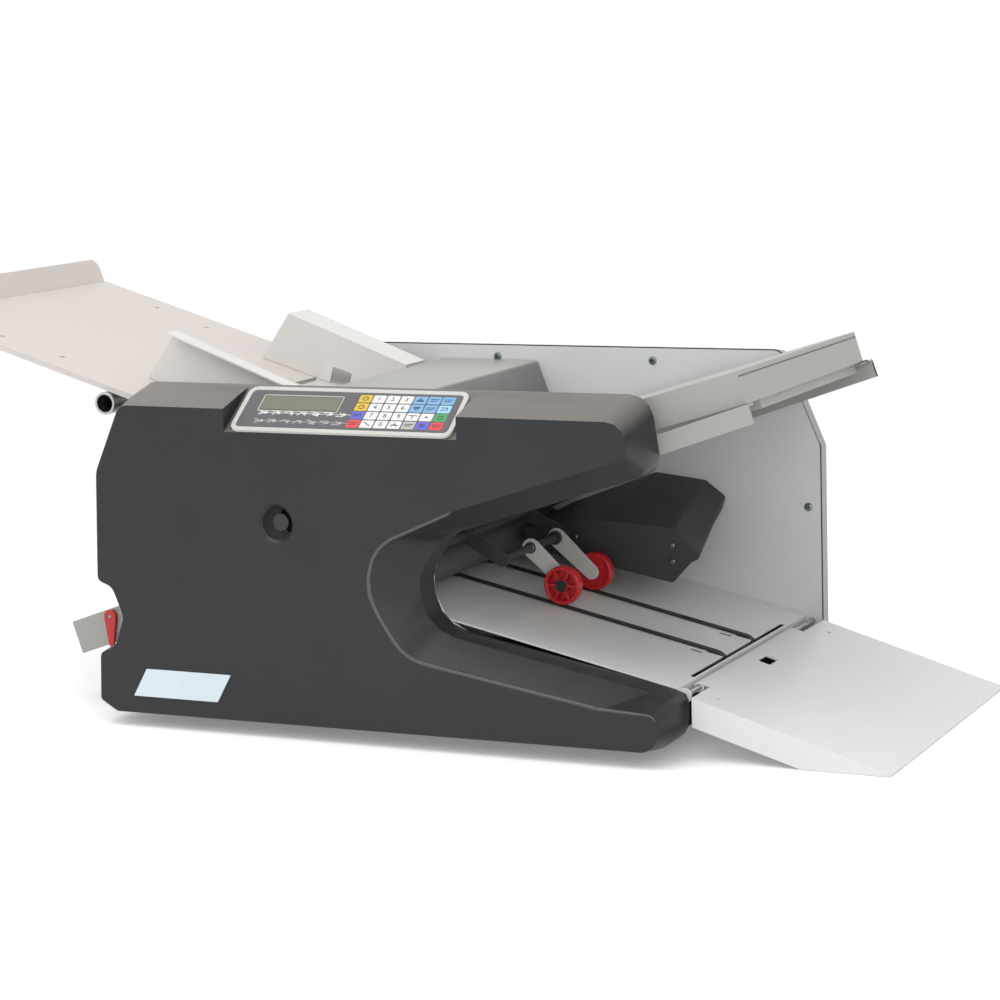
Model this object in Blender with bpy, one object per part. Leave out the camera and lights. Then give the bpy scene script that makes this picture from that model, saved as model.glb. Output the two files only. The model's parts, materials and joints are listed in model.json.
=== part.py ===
"""Desk-top paper folding machine of the buckle type, built piece by piece.

Sheets are laid on the sloping feed table, pulled in over the feed roller, buckled into
the upper and the lower fold plate by four stacked rollers, and carried out over the
exit bed by two belts under a pair of red stacker wheels.

X runs from the feed table to the exit tray, Y from the keypad side to the far side,
Z up. Lengths are in metres. Heights and distances are taken from the lower edge and
the front face of the near cover, and the whole machine hangs on one empty that puts
the middle of its outline over the origin, standing on its feet.
"""
import math

import bmesh
import bpy
from mathutils import Matrix, Vector
from mathutils.geometry import tessellate_polygon

# Clearances and gauges that many pieces share
GAP = 0.0003                    # between neighbours that touch on the real machine
OVERRUN = 0.004                 # how far a cutter passes the face that it cuts
SHEET = 0.002                   # pressed sheet of tables, bed, guides and rails
FRAME_SHEET = 0.003             # side frame plates
SHELL_WALL = 0.003              # moulded covers
PIN_CLEARANCE = 0.0003          # between a shaft or rod and its hole
TRAVEL_MARGIN = 0.001           # left at each end of a slot that something slides in

# Side covers and frames
COVER_LEFT = -0.616
COVER_LENGTH = 0.644
COVER_HEIGHT = 0.343
COVER_DEPTH = 0.062
COVER_BORDER_DEPTH = 0.030      # the sloping band round the exit mouth ends this deep
COVER_TOP_DROP = 0.016          # the top surface falls this much toward the front
BAY_WIDTH = 0.376               # between the two frame plates
FAR_COVER_DEPTH = 0.026
FAR_COVER_STEP = 0.002          # the far cover stands back from the panel's edge
HAND_HOLE_RADIUS = 0.017
HAND_HOLE_RIM = 0.003
FRAME_INSET = 0.0015            # near frame plate inside the cover's outline
FRAME_BOTTOM = 0.003
FAR_PANEL_RIGHT = 0.033
FAR_CHAMFER_LENGTH = 0.043
FAR_CHAMFER_HEIGHT = 0.103
FAR_CORNER_RADIUS = 0.012

# Corner tables of the near cover: share of its length, share of its height, corner
# radius as a share of its height. The rim is the outline at the sloping band's depth,
# the face is the flat front inside the band.
COVER_RIM_SHARES = (
    (0.0341, 0.000, 0.030), (0.9689, 0.000, 0.070), (0.9969, 0.035, 0.060),
    (1.0000, 0.146, 0.035), (0.9565, 0.166, 0.030), (0.5839, 0.303, 0.131),
    (0.5699, 0.461, 0.117), (0.6196, 0.585, 0.102), (0.6988, 0.631, 0.120),
    (0.9627, 0.787, 0.050), (0.9472, 0.955, 0.073), (0.0640, 0.965, 0.045),
    (0.0134, 0.750, 0.080), (0.0052, 0.405, 0.020), (0.0310, 0.385, 0.040),
    (0.0496, 0.300, 0.050), (0.0310, 0.212, 0.040), (0.0041, 0.192, 0.020),
    (0.0000, 0.035, 0.015))
COVER_FACE_SHARES = (
    (0.0362, 0.006, 0.030), (0.9627, 0.012, 0.050), (0.9845, 0.035, 0.035),
    (0.9845, 0.117, 0.030), (0.8898, 0.124, 0.030), (0.5638, 0.228, 0.150),
    (0.4915, 0.440, 0.160), (0.5276, 0.570, 0.140), (0.6516, 0.670, 0.150),
    (0.9480, 0.845, 0.030), (0.9425, 0.945, 0.060), (0.0692, 0.950, 0.040),
    (0.0196, 0.745, 0.080), (0.0114, 0.410, 0.020), (0.0382, 0.392, 0.040),
    (0.0578, 0.300, 0.050), (0.0382, 0.205, 0.040), (0.0103, 0.186, 0.020),
    (0.0062, 0.040, 0.015))
COVER_TOP_CORNERS = (10, 11)    # places in the tables of the two corners of the top
CORNER_STEPS = 3
MITRE_LIMIT_SHARE = 0.3         # keeps sharp corners from running away when inset

# Keypad on the cover's sloping facet
FACET_SLOPE = math.radians(36.0)
FACET_CENTRE_X = -0.3165
FACET_LENGTH = 0.262
FACET_LOW_EDGE_HEIGHT = 0.302
BEZEL_LENGTH = 0.250
BEZEL_WIDTH = 0.0645
BEZEL_THICKNESS = 0.0035
BEZEL_CORNER_RADIUS = 0.010
BEZEL_RIM = 0.0055
BEZEL_POCKET_DEPTH = 0.0015
OVERLAY_THICKNESS = 0.0009
DISPLAY_LENGTH = 0.088
DISPLAY_WIDTH = 0.019
DISPLAY_MARGIN = 0.018          # from the pocket's upper left corner
DISPLAY_THICKNESS = 0.0012
BOARD_LENGTH = 0.220
BOARD_WIDTH = 0.046
BOARD_THICKNESS = 0.0016
BOARD_POST_RADIUS = 0.003
BOARD_POST_LENGTH = 0.005
BOARD_POST_INSET = 0.006

# Bare name plate on the near cover
NAME_PLATE_LEFT = -0.570
NAME_PLATE_BOTTOM = 0.0205
NAME_PLATE_LENGTH = 0.118
NAME_PLATE_HEIGHT = 0.0295
NAME_PLATE_LEAN = 0.017
NAME_PLATE_THICKNESS = 0.0012

# Base and feet
PAN_LEFT = -0.600
PAN_RIGHT = 0.004
PAN_THICKNESS = 0.0025
FOOT_RADIUS = 0.012
FOOT_DROP = 0.0135              # from the cover's lower edge down to the desk
FOOT_INSET = 0.030

# Feed table, its extension and the two side guides
TABLE_SLOPE = math.radians(17.07)
TABLE_END_X = -0.421
TABLE_END_Z = 0.2739
TABLE_LENGTH = 0.466
TABLE_MARGIN = 0.0003           # from the table's sides to the frame plates
TABLE_LIP = 0.010
TABLE_HOLE_RADIUS = 0.003
TABLE_HOLE_SHARES = ((0.20, 0.92), (0.20, 0.08), (0.36, 0.90), (0.36, 0.10))
EXTENSION_SHEET = 0.0015
EXTENSION_OVERLAP = 0.216
EXTENSION_LIP_RISE = 0.024
EXTENSION_LIP_LEAN = 0.020
EXTENSION_CORNER_RADIUS = 0.012
PAPER_WIDTH = 0.216
PAPER_PLAY = 0.003              # each side, between the sheet and its guide
GUIDE_OUTWARD = 0.030
GUIDE_INWARD = 0.045
FAR_GUIDE_END = 0.020           # from the table's right end to the guide
NEAR_GUIDE_END = 0.033
GUIDE_LENGTH = 0.158
GUIDE_HEIGHT = 0.0605
GUIDE_FRONT_DROP = 0.010        # the guide is lower at its right end
GUIDE_LEAN = 0.020
FAR_GUIDE_FLANGE = 0.046
NEAR_GUIDE_FLANGE = 0.020
GUIDE_NOTCH_LENGTH = 0.025
GUIDE_NOTCH_HEIGHT = 0.019
GUIDE_NOTCH_PLACE = 0.063
GUIDE_TONGUE_LENGTH = 0.006
GUIDE_TONGUE_DEPTH = 0.010
GUIDE_TONGUE_PLACE = 0.100
TUBE_RADIUS = 0.012
TUBE_BORE_RADIUS = 0.0095
TUBE_X = -0.628
TUBE_REACH = 0.005              # past the near frame plate

# Feeding: roller, retard block and its carrier bar
FEED_X = -0.3915
FEED_HEIGHT = 0.245
FEED_ROLLER_RADIUS = 0.0215
FEED_ROLLER_LENGTH = 0.180
RETARD_LENGTH = 0.020
RETARD_WIDTH = 0.060
RETARD_HEIGHT = 0.016
RETARD_NIP = 0.0008
CARRIER_RADIUS = 0.004

# Fold rollers and their gears
ROLLER_X = -0.290
FIRST_ROLLER_HEIGHT = 0.2495
ROLLER_PITCH = 0.035            # distance of two neighbouring axes
ROLLER_NIP = 0.0004             # gap between two roller surfaces
THIRD_ROLLER_ANGLE = math.radians(-80.0)
FOURTH_ROLLER_ANGLE = math.radians(-102.0)
ROLLER_BORE_CLEARANCE = 0.0003
ROLLER_END_GAP = 0.006
SHAFT_RADIUS = 0.005
GEAR_TEETH = 20
GEAR_WIDTH = 0.012
GEAR_FRAME_GAP = 0.006
TOOTH_TIP_HEIGHT_SHARE = 0.35   # of the tooth pitch, above the pitch circle
TOOTH_ROOT_DEPTH_SHARE = 0.40   # of the tooth pitch, below it
TOOTH_TIP_SHARE = 0.13          # half width at the tip, of the tooth pitch
TOOTH_ROOT_SHARE = 0.30

# Drive train
JACKSHAFT_HEIGHT = 0.210
JACKSHAFT_END_DEPTH = 0.010     # hand-turning end behind the cover's front face
HAND_END_RADIUS = 0.009
MOTOR_X = -0.510
MOTOR_HEIGHT = 0.215
MOTOR_RADIUS = 0.036
MOTOR_LENGTH = 0.085
MOTOR_PULLEY_RADIUS = 0.012
MOTOR_SHAFT_RADIUS = 0.004
JACKSHAFT_PULLEY_RADIUS = 0.024
ROLLER_PULLEY_RADIUS = 0.011
CONVEYOR_REACH = 0.033          # from the fourth roller to the belt drive roller
CONVEYOR_DRIVER_RADIUS = 0.014  # pulley on the fourth roller's shaft
CONVEYOR_PULLEY_RADIUS = 0.009  # pulley on the belt drive roller
DRIVE_BELT_WIDTH = 0.008
BELT_ARC_STEPS = 8
WIDEST_ARC_SHARE = 0.55         # most of a full turn that a belt lies round one pulley
DRIVE_BELT_THICKNESS = 0.0015
PULLEY_FRAME_GAP = 0.004
BRACKET_LENGTH = 0.090
BRACKET_HEIGHT = 0.080
POST_RADIUS = 0.004
POST_INSET = 0.008

# Power supply, inlet and switch
SUPPLY_X = -0.420
SUPPLY_Y = 0.180
SUPPLY_LENGTH = 0.120
SUPPLY_WIDTH = 0.110
SUPPLY_HEIGHT = 0.055
INLET_X = -0.525
INLET_HEIGHT = 0.060
INLET_LENGTH = 0.032
INLET_RISE = 0.024
INLET_DEPTH = 0.016
INLET_POCKET_DEPTH = 0.012
INLET_WALL = 0.003
INLET_FLANGE = 0.003            # how far the flange reaches past the body
INLET_FLANGE_THICKNESS = 0.0015
BLADE_LENGTH = 0.009
BLADE_THICKNESS = 0.002
BLADE_SPREAD = 0.007
SWITCH_LENGTH = 0.018
SWITCH_RISE = 0.024
SWITCH_WALL = 0.002
SWITCH_DEPTH = 0.014
ROCKER_TILT = math.radians(9.0)
ROCKER_PROUD = 0.0025
ROCKER_BACK = 0.006

# Exit bed, belts and their rollers
BED_SLOPE = math.radians(12.53)
BED_LEFT_X = -0.310
BED_LEFT_Z = 0.1265
BED_LENGTH = 0.333
BED_END_FLANGE = 0.012
BELT_NEAR_SHARE = 0.393         # of the bay's width, from the near frame plate
BELT_FAR_SHARE = 0.614
BELT_WIDTH = 0.009
BELT_THICKNESS = 0.0015
PULLEY_RADIUS = 0.0095
PULLEY_MARGIN = 0.001
CONVEYOR_SHAFT_RADIUS = 0.0045
IDLER_PLACE = 0.017             # from the bed's right end
SLOT_MARGIN = 0.001
END_SLOT_WIDTH = 0.005
END_SLOT_PLACE = 0.003
END_SLOT_START_SHARE = 0.13     # of the bay's width
END_SLOT_STOP_SHARE = 0.84
WINDOW_LENGTH = 0.014
WINDOW_WIDTH = 0.008
WINDOW_PLACE = 0.0255           # Stacker wheels on their arms
ARM_PIVOT_X = -0.212
ARM_PIVOT_HEIGHT = 0.1555
WHEEL_X = -0.172
WHEEL_RADIUS = 0.0205
WHEEL_WIDTH = 0.012
WHEEL_RIM = 0.005
WHEEL_HUB_RADIUS = 0.007
WHEEL_WEB = 0.004
WHEEL_BORE_RADIUS = 0.0028
ARM_THICKNESS = 0.003
ARM_PIVOT_END_RADIUS = 0.010
ARM_WHEEL_END_RADIUS = 0.008
ARM_SHAFT_RADIUS = 0.004
COLLAR_RADIUS = 0.0075
COLLAR_WIDTH = 0.005
ARM_BAR_X = -0.255              # cross bar that carries the arms' pivot shaft
ARM_BAR_HEIGHT = 0.178
LINK_Y = 0.150
LINK_THICKNESS = 0.004
LINK_END_RADIUS = 0.0065

# Fold plates, their stops, rails and the red latch
UPPER_PLATE_SLOPE = math.radians(16.65)
UPPER_PLATE_THICKNESS = 0.033
UPPER_PLATE_LENGTH = 0.362
UPPER_PLATE_END_X = 0.0815
UPPER_PLATE_MIDLINE = 0.3258    # height of the mid-line over X = 0
LOWER_PLATE_SLOPE = math.radians(18.8)
LOWER_PLATE_THICKNESS = 0.036
LOWER_PLATE_LENGTH = 0.392
LOWER_PLATE_START_X = -0.318
LOWER_PLATE_MIDLINE = 0.2937
PLATE_MARGIN = 0.0107           # from the plate's side to the frame plates
CHUTE_GAP = 0.0036
PLATE_SKIN = 0.0015
CHUTE_EDGE = 0.008
CHUTE_END = 0.012
PLATE_STEP_DEPTH = 0.0096       # the upper plate's deeper part reaches this much lower
PLATE_STEP_NEAR = 0.058         # from the plate's near side to the deeper part
PLATE_STEP_FAR = 0.0056
PLATE_STEP_SETBACK = 0.008
PLATE_STEP_LENGTH = 0.190
STOP_LENGTH = 0.014
UPPER_STOP_PLACE = 0.200
LOWER_STOP_PLACE = 0.180
RAIL_FLANGE = 0.015
UPPER_RAIL_SLOPE = math.radians(19.0)
UPPER_RAIL_HEIGHT = 0.0195
UPPER_RAIL_START_X = -0.150
UPPER_RAIL_END_X = 0.092
LOWER_RAIL_HEIGHT = 0.019
LOWER_RAIL_START_X = -0.600
LOWER_RAIL_END_X = -0.345
LATCH_X = -0.640
LATCH_LENGTH = 0.030
LATCH_HEAD_RADIUS = 0.0075
LATCH_TIP_RADIUS = 0.003
LATCH_THICKNESS = 0.004
LATCH_PIN_RADIUS = 0.002

# Drive housing on the far panel, inside the exit mouth
HOUSING_NEAR_Y = 0.310
HOUSING_WALL = 0.002
HOUSING_LEFT = -0.262
HOUSING_LENGTH = 0.208
HOUSING_BOTTOM = 0.108
HOUSING_HEIGHT = 0.097
HOUSING_NEAR_SHARES = (
    (0.034, 0.300, 0.03), (0.495, 0.139, 0.03), (0.837, 0.000, 0.05),
    (0.942, 0.240, 0.03), (1.000, 0.299, 0.04), (0.850, 0.610, 0.05),
    (0.418, 0.660, 0.05), (0.000, 0.536, 0.03))
HOUSING_FAR_SHARES = (
    (0.034, 0.430, 0.03), (0.450, 0.380, 0.03), (0.832, 0.495, 0.05),
    (0.870, 0.600, 0.03), (0.892, 0.750, 0.04), (0.780, 0.930, 0.06),
    (0.500, 1.000, 0.10), (0.000, 0.600, 0.03))
HOUSING_SCREW_RADIUS = 0.003
HOUSING_SCREW_HEIGHT = 0.0015
HOUSING_SCREW_SHARES = ((0.840, 0.240), (0.840, 0.420), (0.300, 0.460))

# Panel rivets on the far frame plate, as shares of its length and height
RIVET_RADIUS = 0.0042
RIVET_HEIGHT = 0.0012
RIVET_SHARES = ((0.4114, 0.9636), (0.7028, 0.9598), (0.9783, 0.5044))  # Top cover over the feed rollers
TOP_COVER_LEFT = -0.4195
TOP_COVER_RIGHT = -0.299
TOP_COVER_HEIGHT = 0.327
TOP_COVER_SKIRT = 0.040
TOP_COVER_FLARE = 0.015
TOP_COVER_EDGE = 0.004
TOP_COVER_MARGIN = 0.002
COVER_HINGE_INSET = 0.010
COVER_HINGE_DROP = 0.026
COVER_HINGE_RADIUS = 0.003

# Exit tray
TRAY_HINGE_X = 0.0215
TRAY_HINGE_Z = 0.0475
TRAY_HINGE_RADIUS = 0.003
HINGE_LUG_RADIUS = 0.008        # of the near frame plate round the hinge rod
TRAY_BEAD_RADIUS = 0.0055
TRAY_BEAD_START = 0.053         # from the tray's near side to the rolled edge
TRAY_BEAD_LENGTH = 0.272
TRAY_SLOPE = math.radians(16.7)
TRAY_LENGTH = 0.2215
TRAY_SHOULDER = 0.012           # from the hinge to where the sheet has its full width
TRAY_NEAR = 0.050
TRAY_MARGIN = 0.0015            # from the tray's far side to the far frame plate
TRAY_FLANGE = 0.028
TRAY_DESK_GAP = 0.0005
TRAY_HOLE_RADIUS = 0.0025
TRAY_HOLE_SHARES = ((0.107, 0.064), (0.107, 0.909))
LOUVER_LENGTH = 0.014
LOUVER_WIDTH = 0.026
LOUVER_PLACE = 0.006
LOUVER_SHARE = 0.4618

# Places worked out from the sizes above
NEAR_FRAME_Y = COVER_DEPTH + GAP
BAY_NEAR = NEAR_FRAME_Y + FRAME_SHEET
BAY_FAR = BAY_NEAR + BAY_WIDTH
FAR_FRAME_BACK = BAY_FAR + FRAME_SHEET
FAR_COVER_Y = FAR_FRAME_BACK + GAP
MACHINE_BACK = FAR_COVER_Y + FAR_COVER_DEPTH
BAY_MIDDLE = (BAY_NEAR + BAY_FAR) / 2
PAN_TOP = FRAME_BOTTOM + PAN_THICKNESS
TABLE_NEAR = BAY_NEAR + TABLE_MARGIN
TABLE_FAR = BAY_FAR - TABLE_MARGIN
GUIDE_SPACING = PAPER_WIDTH + 2 * PAPER_PLAY
TABLE_DEPTH = SHEET + EXTENSION_SHEET + SHEET + 2 * GAP
PLATE_NEAR = BAY_NEAR + PLATE_MARGIN
PLATE_FAR = BAY_FAR - PLATE_MARGIN
TRAY_FAR = BAY_FAR - TRAY_MARGIN
GEAR_FAR = NEAR_FRAME_Y - GEAR_FRAME_GAP
GEAR_NEAR = GEAR_FAR - GEAR_WIDTH
NEAR_PULLEY_FAR = GEAR_NEAR - PULLEY_FRAME_GAP
NEAR_PULLEY_NEAR = NEAR_PULLEY_FAR - DRIVE_BELT_WIDTH
FAR_PULLEY_FAR = BAY_FAR - PULLEY_FRAME_GAP
FAR_PULLEY_NEAR = FAR_PULLEY_FAR - DRIVE_BELT_WIDTH
SWITCH_X = INLET_X + INLET_LENGTH / 2 + INLET_FLANGE + SWITCH_LENGTH / 2
BELT_MIDDLES = (BAY_NEAR + BELT_NEAR_SHARE * BAY_WIDTH, BAY_NEAR + BELT_FAR_SHARE * BAY_WIDTH)

SHELL = {"colour": (0.065, 0.068, 0.074), "roughness": 0.55, "metallic": 0.0}
WHITE_PAINT = {"colour": (0.72, 0.73, 0.73), "roughness": 0.45, "metallic": 0.0}
GREY_PAINT = {"colour": (0.36, 0.36, 0.34), "roughness": 0.45, "metallic": 0.0}
CREAM_PAINT = {"colour": (0.78, 0.73, 0.69), "roughness": 0.50, "metallic": 0.0}
DARK_PAINT = {"colour": (0.022, 0.022, 0.023), "roughness": 0.50, "metallic": 0.0}
BLACK_RUBBER = {"colour": (0.015, 0.015, 0.015), "roughness": 0.85, "metallic": 0.0}
GREY_RUBBER = {"colour": (0.10, 0.10, 0.10), "roughness": 0.80, "metallic": 0.0}
STEEL = {"colour": (0.55, 0.55, 0.56), "roughness": 0.35, "metallic": 1.0}
RED_PLASTIC = {"colour": (0.42, 0.015, 0.018), "roughness": 0.40, "metallic": 0.0}
BLACK_PLASTIC = {"colour": (0.02, 0.02, 0.02), "roughness": 0.45, "metallic": 0.0}
OFF_WHITE = {"colour": (0.70, 0.69, 0.66), "roughness": 0.45, "metallic": 0.0}
KEY_GREY = {"colour": (0.10, 0.11, 0.13), "roughness": 0.50, "metallic": 0.0}
LCD_GREEN = {"colour": (0.17, 0.18, 0.12), "roughness": 0.20, "metallic": 0.0}
BOARD_GREEN = {"colour": (0.02, 0.14, 0.06), "roughness": 0.50, "metallic": 0.0}


# Outlines in the X and Z plane

def fillet(before, corner, after, radius, steps):
    """Points of the arc that rounds a corner, or the corner alone if it is straight."""
    to_before = (before - corner).normalized()
    to_after = (after - corner).normalized()
    half = to_before.angle(to_after) / 2
    if radius <= 0 or half > math.radians(89.9):
        return [corner]
    reach = radius / math.tan(half)
    centre = corner + (to_before + to_after).normalized() * radius / math.sin(half)
    start = corner + to_before * reach - centre
    stop = corner + to_after * reach - centre
    sweep = start.angle_signed(stop)
    points = []
    for step in range(steps + 1):
        turn = Matrix.Rotation(-sweep * step / steps, 2)
        points.append(centre + turn @ start)
    return points


def rounded(corners, steps=CORNER_STEPS):
    """Outline through (x, z, radius) corners, each rounded by its own radius."""
    places = [Vector((x, z)) for x, z, radius in corners]
    outline = []
    for index, (x, z, radius) in enumerate(corners):
        after = places[(index + 1) % len(corners)]
        outline += fillet(places[index - 1], places[index], after, radius, steps)
    return outline


def plain(*corners):
    return [Vector(corner) for corner in corners]


def rectangle(left, bottom, right, top, radius=0.0):
    corners = [(left, bottom, radius), (right, bottom, radius),
               (right, top, radius), (left, top, radius)]
    return rounded(corners)


def circle(x, z, radius, sides=16, turn=0.0):
    angles = [turn + math.tau * side / sides for side in range(sides)]
    return [Vector((x + radius * math.cos(a), z + radius * math.sin(a))) for a in angles]


def inset_corners(corners, distance):
    """Move each side of a cornered outline inward; radii follow so walls stay even."""
    places = [Vector((x, z)) for x, z, radius in corners]
    moved = []
    for index, (x, z, radius) in enumerate(corners):
        here = places[index]
        arriving = (here - places[index - 1]).normalized()
        leaving = (places[(index + 1) % len(corners)] - here).normalized()
        inward = Vector((-arriving.y - leaving.y, arriving.x + leaving.x)).normalized()
        reach = distance / max(inward.dot(Vector((-arriving.y, arriving.x))), MITRE_LIMIT_SHARE)
        bend = arriving.x * leaving.y - arriving.y * leaving.x
        new_radius = radius - distance if bend > 0 else radius + distance
        place = here + inward * reach
        moved.append((place.x, place.y, max(new_radius, distance / 2)))
    return moved


def from_shares(shares, left, bottom, length, height):
    """Corners from a table of shares of a length and a height."""
    return [(left + x * length, bottom + z * height, r * height) for x, z, r in shares]


# Meshes

def ring_of(bm, outline, y):
    return [bm.verts.new((point.x, y, point.y)) for point in outline]


def bridge(bm, first, second):
    for index in range(len(first)):
        follow = (index + 1) % len(first)
        bm.faces.new((first[index], first[follow], second[follow], second[index]))


def loft(outlines, depths, is_open=False):
    """Body through outlines of equal point count, each at its own depth along Y."""
    bm = bmesh.new()
    rings = [ring_of(bm, outline, y) for outline, y in zip(outlines, depths)]
    for first, second in zip(rings, rings[1:]):
        bridge(bm, first, second)
    if is_open:
        bridge(bm, rings[-1], rings[0])
    else:
        bm.faces.new(rings[0])
        bm.faces.new(rings[-1])
    return bm


def extrude(outline, near, far):
    return loft([outline, outline], [near, far])


def extrude_ring(outer, inner, near, far):
    """Body between two outlines of equal point count, such as a belt."""
    return loft([outer, outer, inner, inner], [near, far, far, near], is_open=True)


def extrude_holed(outer, holes, near, far):
    """Plate with holes right through it."""
    bm = bmesh.new()
    loops = [outer, *holes]
    near_verts = []
    far_verts = []
    for loop in loops:
        first = ring_of(bm, loop, near)
        second = ring_of(bm, loop, far)
        bridge(bm, first, second)
        near_verts += first
        far_verts += second
    flat = [[point.to_3d() for point in loop] for loop in loops]
    for triangle in tessellate_polygon(flat):
        bm.faces.new([near_verts[index] for index in triangle])
        bm.faces.new([far_verts[index] for index in triangle])
    return bm


def turned(profile, sides=16, bore=0.0):
    """Body turned round the Y axis from (y, radius) steps, solid or with a bore."""
    outlines = [circle(0.0, 0.0, radius, sides) for y, radius in profile]
    depths = [y for y, radius in profile]
    if bore > 0:
        for y in (profile[-1][0], profile[0][0]):
            outlines.append(circle(0.0, 0.0, bore, sides))
            depths.append(y)
    return loft(outlines, depths, is_open=bore > 0)


def block(left, near, bottom, right, far, top):
    return extrude(plain((left, bottom), (right, bottom), (right, top), (left, top)), near, far)


def upright(outline, bottom, top):
    """Body whose outline lies in the X and Y plane."""
    bm = extrude(outline, bottom, top)
    bm.transform(Matrix.Rotation(math.pi / 2, 4, "X"))
    bm.transform(Matrix.Scale(-1.0, 4, (0.0, 1.0, 0.0)))
    return bm


def shifted(bm, x=0.0, y=0.0, z=0.0):
    bmesh.ops.translate(bm, verts=bm.verts, vec=(x, y, z))
    return bm


# Objects

def empty(name, location=(0.0, 0.0, 0.0), tilt=0.0, parent=None, axis="Y"):
    holder = bpy.data.objects.new(name, None)
    bpy.context.scene.collection.objects.link(holder)
    return seat(holder, location, tilt, parent, axis)


def seat(item, location, tilt, parent, axis="Y"):
    item.location = location
    item.rotation_euler["XYZ".index(axis)] = tilt
    item.parent = parent
    return item


def finish_material(name, look):
    material = bpy.data.materials.new(name)
    material.use_nodes = True
    shader = material.node_tree.nodes["Principled BSDF"]
    shader.inputs["Base Color"].default_value = (*look["colour"], 1.0)
    shader.inputs["Roughness"].default_value = look["roughness"]
    shader.inputs["Metallic"].default_value = look["metallic"]
    return material


def raw_object(name, bm):
    bmesh.ops.recalc_face_normals(bm, faces=bm.faces)
    mesh = bpy.data.meshes.new(name)
    bm.to_mesh(mesh)
    bm.free()
    item = bpy.data.objects.new(name, mesh)
    bpy.context.scene.collection.objects.link(item)
    return item


def piece(name, bm, look, parent, location=(0.0, 0.0, 0.0), tilt=0.0, is_round=False):
    """One sub-part: its mesh, its material and its place."""
    item = raw_object(name, bm)
    item.data.materials.append(finish_material(name, look))
    if is_round:
        item.data.shade_smooth()
        item.data.set_sharp_from_angle(angle=math.radians(35.0))
    return seat(item, location, tilt, parent)


def cutter(name, bm, parent, location=(0.0, 0.0, 0.0), tilt=0.0):
    item = raw_object(name, bm)
    item.hide_render = True
    item.display_type = "WIRE"
    return seat(item, location, tilt, parent)


def combine(item, tool, operation="DIFFERENCE"):
    modifier = item.modifiers.new(operation.lower(), "BOOLEAN")
    modifier.operation = operation
    modifier.solver = "EXACT"
    modifier.object = tool
    return item


def cut(item, bm, parent, location=(0.0, 0.0, 0.0), tilt=0.0):
    """Cut a shape out of a sub-part, the shape given in the same frame."""
    name = item.name + "_cutter_" + str(len(item.modifiers))
    return combine(item, cutter(name, bm, parent, location, tilt))


def add(item, name, bm, parent, location=(0.0, 0.0, 0.0), tilt=0.0):
    """Unite a shape with a sub-part, the shape given in the same frame."""
    return combine(item, cutter(name, bm, parent, location, tilt), "UNION")


def slope_point(origin, slope, along, above):
    """World-side X and Z of a point given along and square to a sloping frame."""
    x = origin[0] + along * math.cos(slope) + above * math.sin(slope)
    z = origin[1] - along * math.sin(slope) + above * math.cos(slope)
    return x, z


# Side covers and frames

def near_cover_outlines(wall):
    """Face, border rim and back outline of the near cover, inset by a wall or by zero."""
    rim = from_shares(COVER_RIM_SHARES, COVER_LEFT, 0.0, COVER_LENGTH, COVER_HEIGHT)
    face = from_shares(COVER_FACE_SHARES, COVER_LEFT, 0.0, COVER_LENGTH, COVER_HEIGHT)
    back = list(rim)
    for index in COVER_TOP_CORNERS:
        x, z, radius = rim[index]
        rise = COVER_TOP_DROP * (1.0 - COVER_BORDER_DEPTH / COVER_DEPTH)
        rim[index] = (x, z - rise + (COVER_HEIGHT - z), radius)
        back[index] = (x, COVER_HEIGHT, radius)
    outlines = []
    for corners in (face, rim, back):
        if wall > 0:
            corners = inset_corners(corners, wall)
        outlines.append(rounded(corners))
    return outlines


def facet_frame(parent):
    """Frame of the keypad's slope: X along it, Y up it, Z out of it, at its middle."""
    middle_y = BEZEL_WIDTH / 2 * math.cos(FACET_SLOPE)
    middle_z = FACET_LOW_EDGE_HEIGHT + BEZEL_WIDTH / 2 * math.sin(FACET_SLOPE)
    place = (FACET_CENTRE_X, middle_y, middle_z)
    return empty("facet_frame", place, FACET_SLOPE, parent, "X")


def build_near_cover(machine, facet):
    outer = near_cover_outlines(0.0)
    inner = near_cover_outlines(SHELL_WALL)
    body = loft(outer, [0.0, COVER_BORDER_DEPTH, COVER_DEPTH])
    cover = piece("near_cover", body, SHELL, machine, is_round=True)
    slope_top = block(-FACET_LENGTH / 2, -BEZEL_WIDTH, 0.0, FACET_LENGTH / 2, BEZEL_WIDTH, BEZEL_WIDTH)
    combine(cover, cutter("facet_cutter", slope_top, facet))
    hollow = loft(inner, [SHELL_WALL, COVER_BORDER_DEPTH + SHELL_WALL, COVER_DEPTH + OVERRUN])
    hollow_tool = cutter("near_cover_hollow", hollow, machine)
    inner_length = FACET_LENGTH / 2 + SHELL_WALL
    slope_wall = block(-inner_length, -BEZEL_WIDTH, -SHELL_WALL, inner_length, BEZEL_WIDTH, BEZEL_WIDTH)
    combine(hollow_tool, cutter("facet_wall_cutter", slope_wall, facet))
    combine(cover, hollow_tool)
    hole = turned([(-OVERRUN, HAND_HOLE_RADIUS + HAND_HOLE_RIM + OVERRUN),
                   (HAND_HOLE_RIM, HAND_HOLE_RADIUS), (SHELL_WALL + OVERRUN, HAND_HOLE_RADIUS)], 24)
    cut(cover, hole, machine, (FEED_X, 0.0, JACKSHAFT_HEIGHT))
    return cover


def shaft_places():
    """Axes of the shafts of one size: fold rollers, feed roller and jackshaft."""
    return roller_places() + [(FEED_X, FEED_HEIGHT), (FEED_X, JACKSHAFT_HEIGHT)]


def roller_places():
    first = (ROLLER_X, FIRST_ROLLER_HEIGHT)
    second = (ROLLER_X, FIRST_ROLLER_HEIGHT - ROLLER_PITCH)
    third = step_from(second, THIRD_ROLLER_ANGLE, ROLLER_PITCH)
    fourth = step_from(third, FOURTH_ROLLER_ANGLE, ROLLER_PITCH)
    return [first, second, third, fourth]


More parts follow.
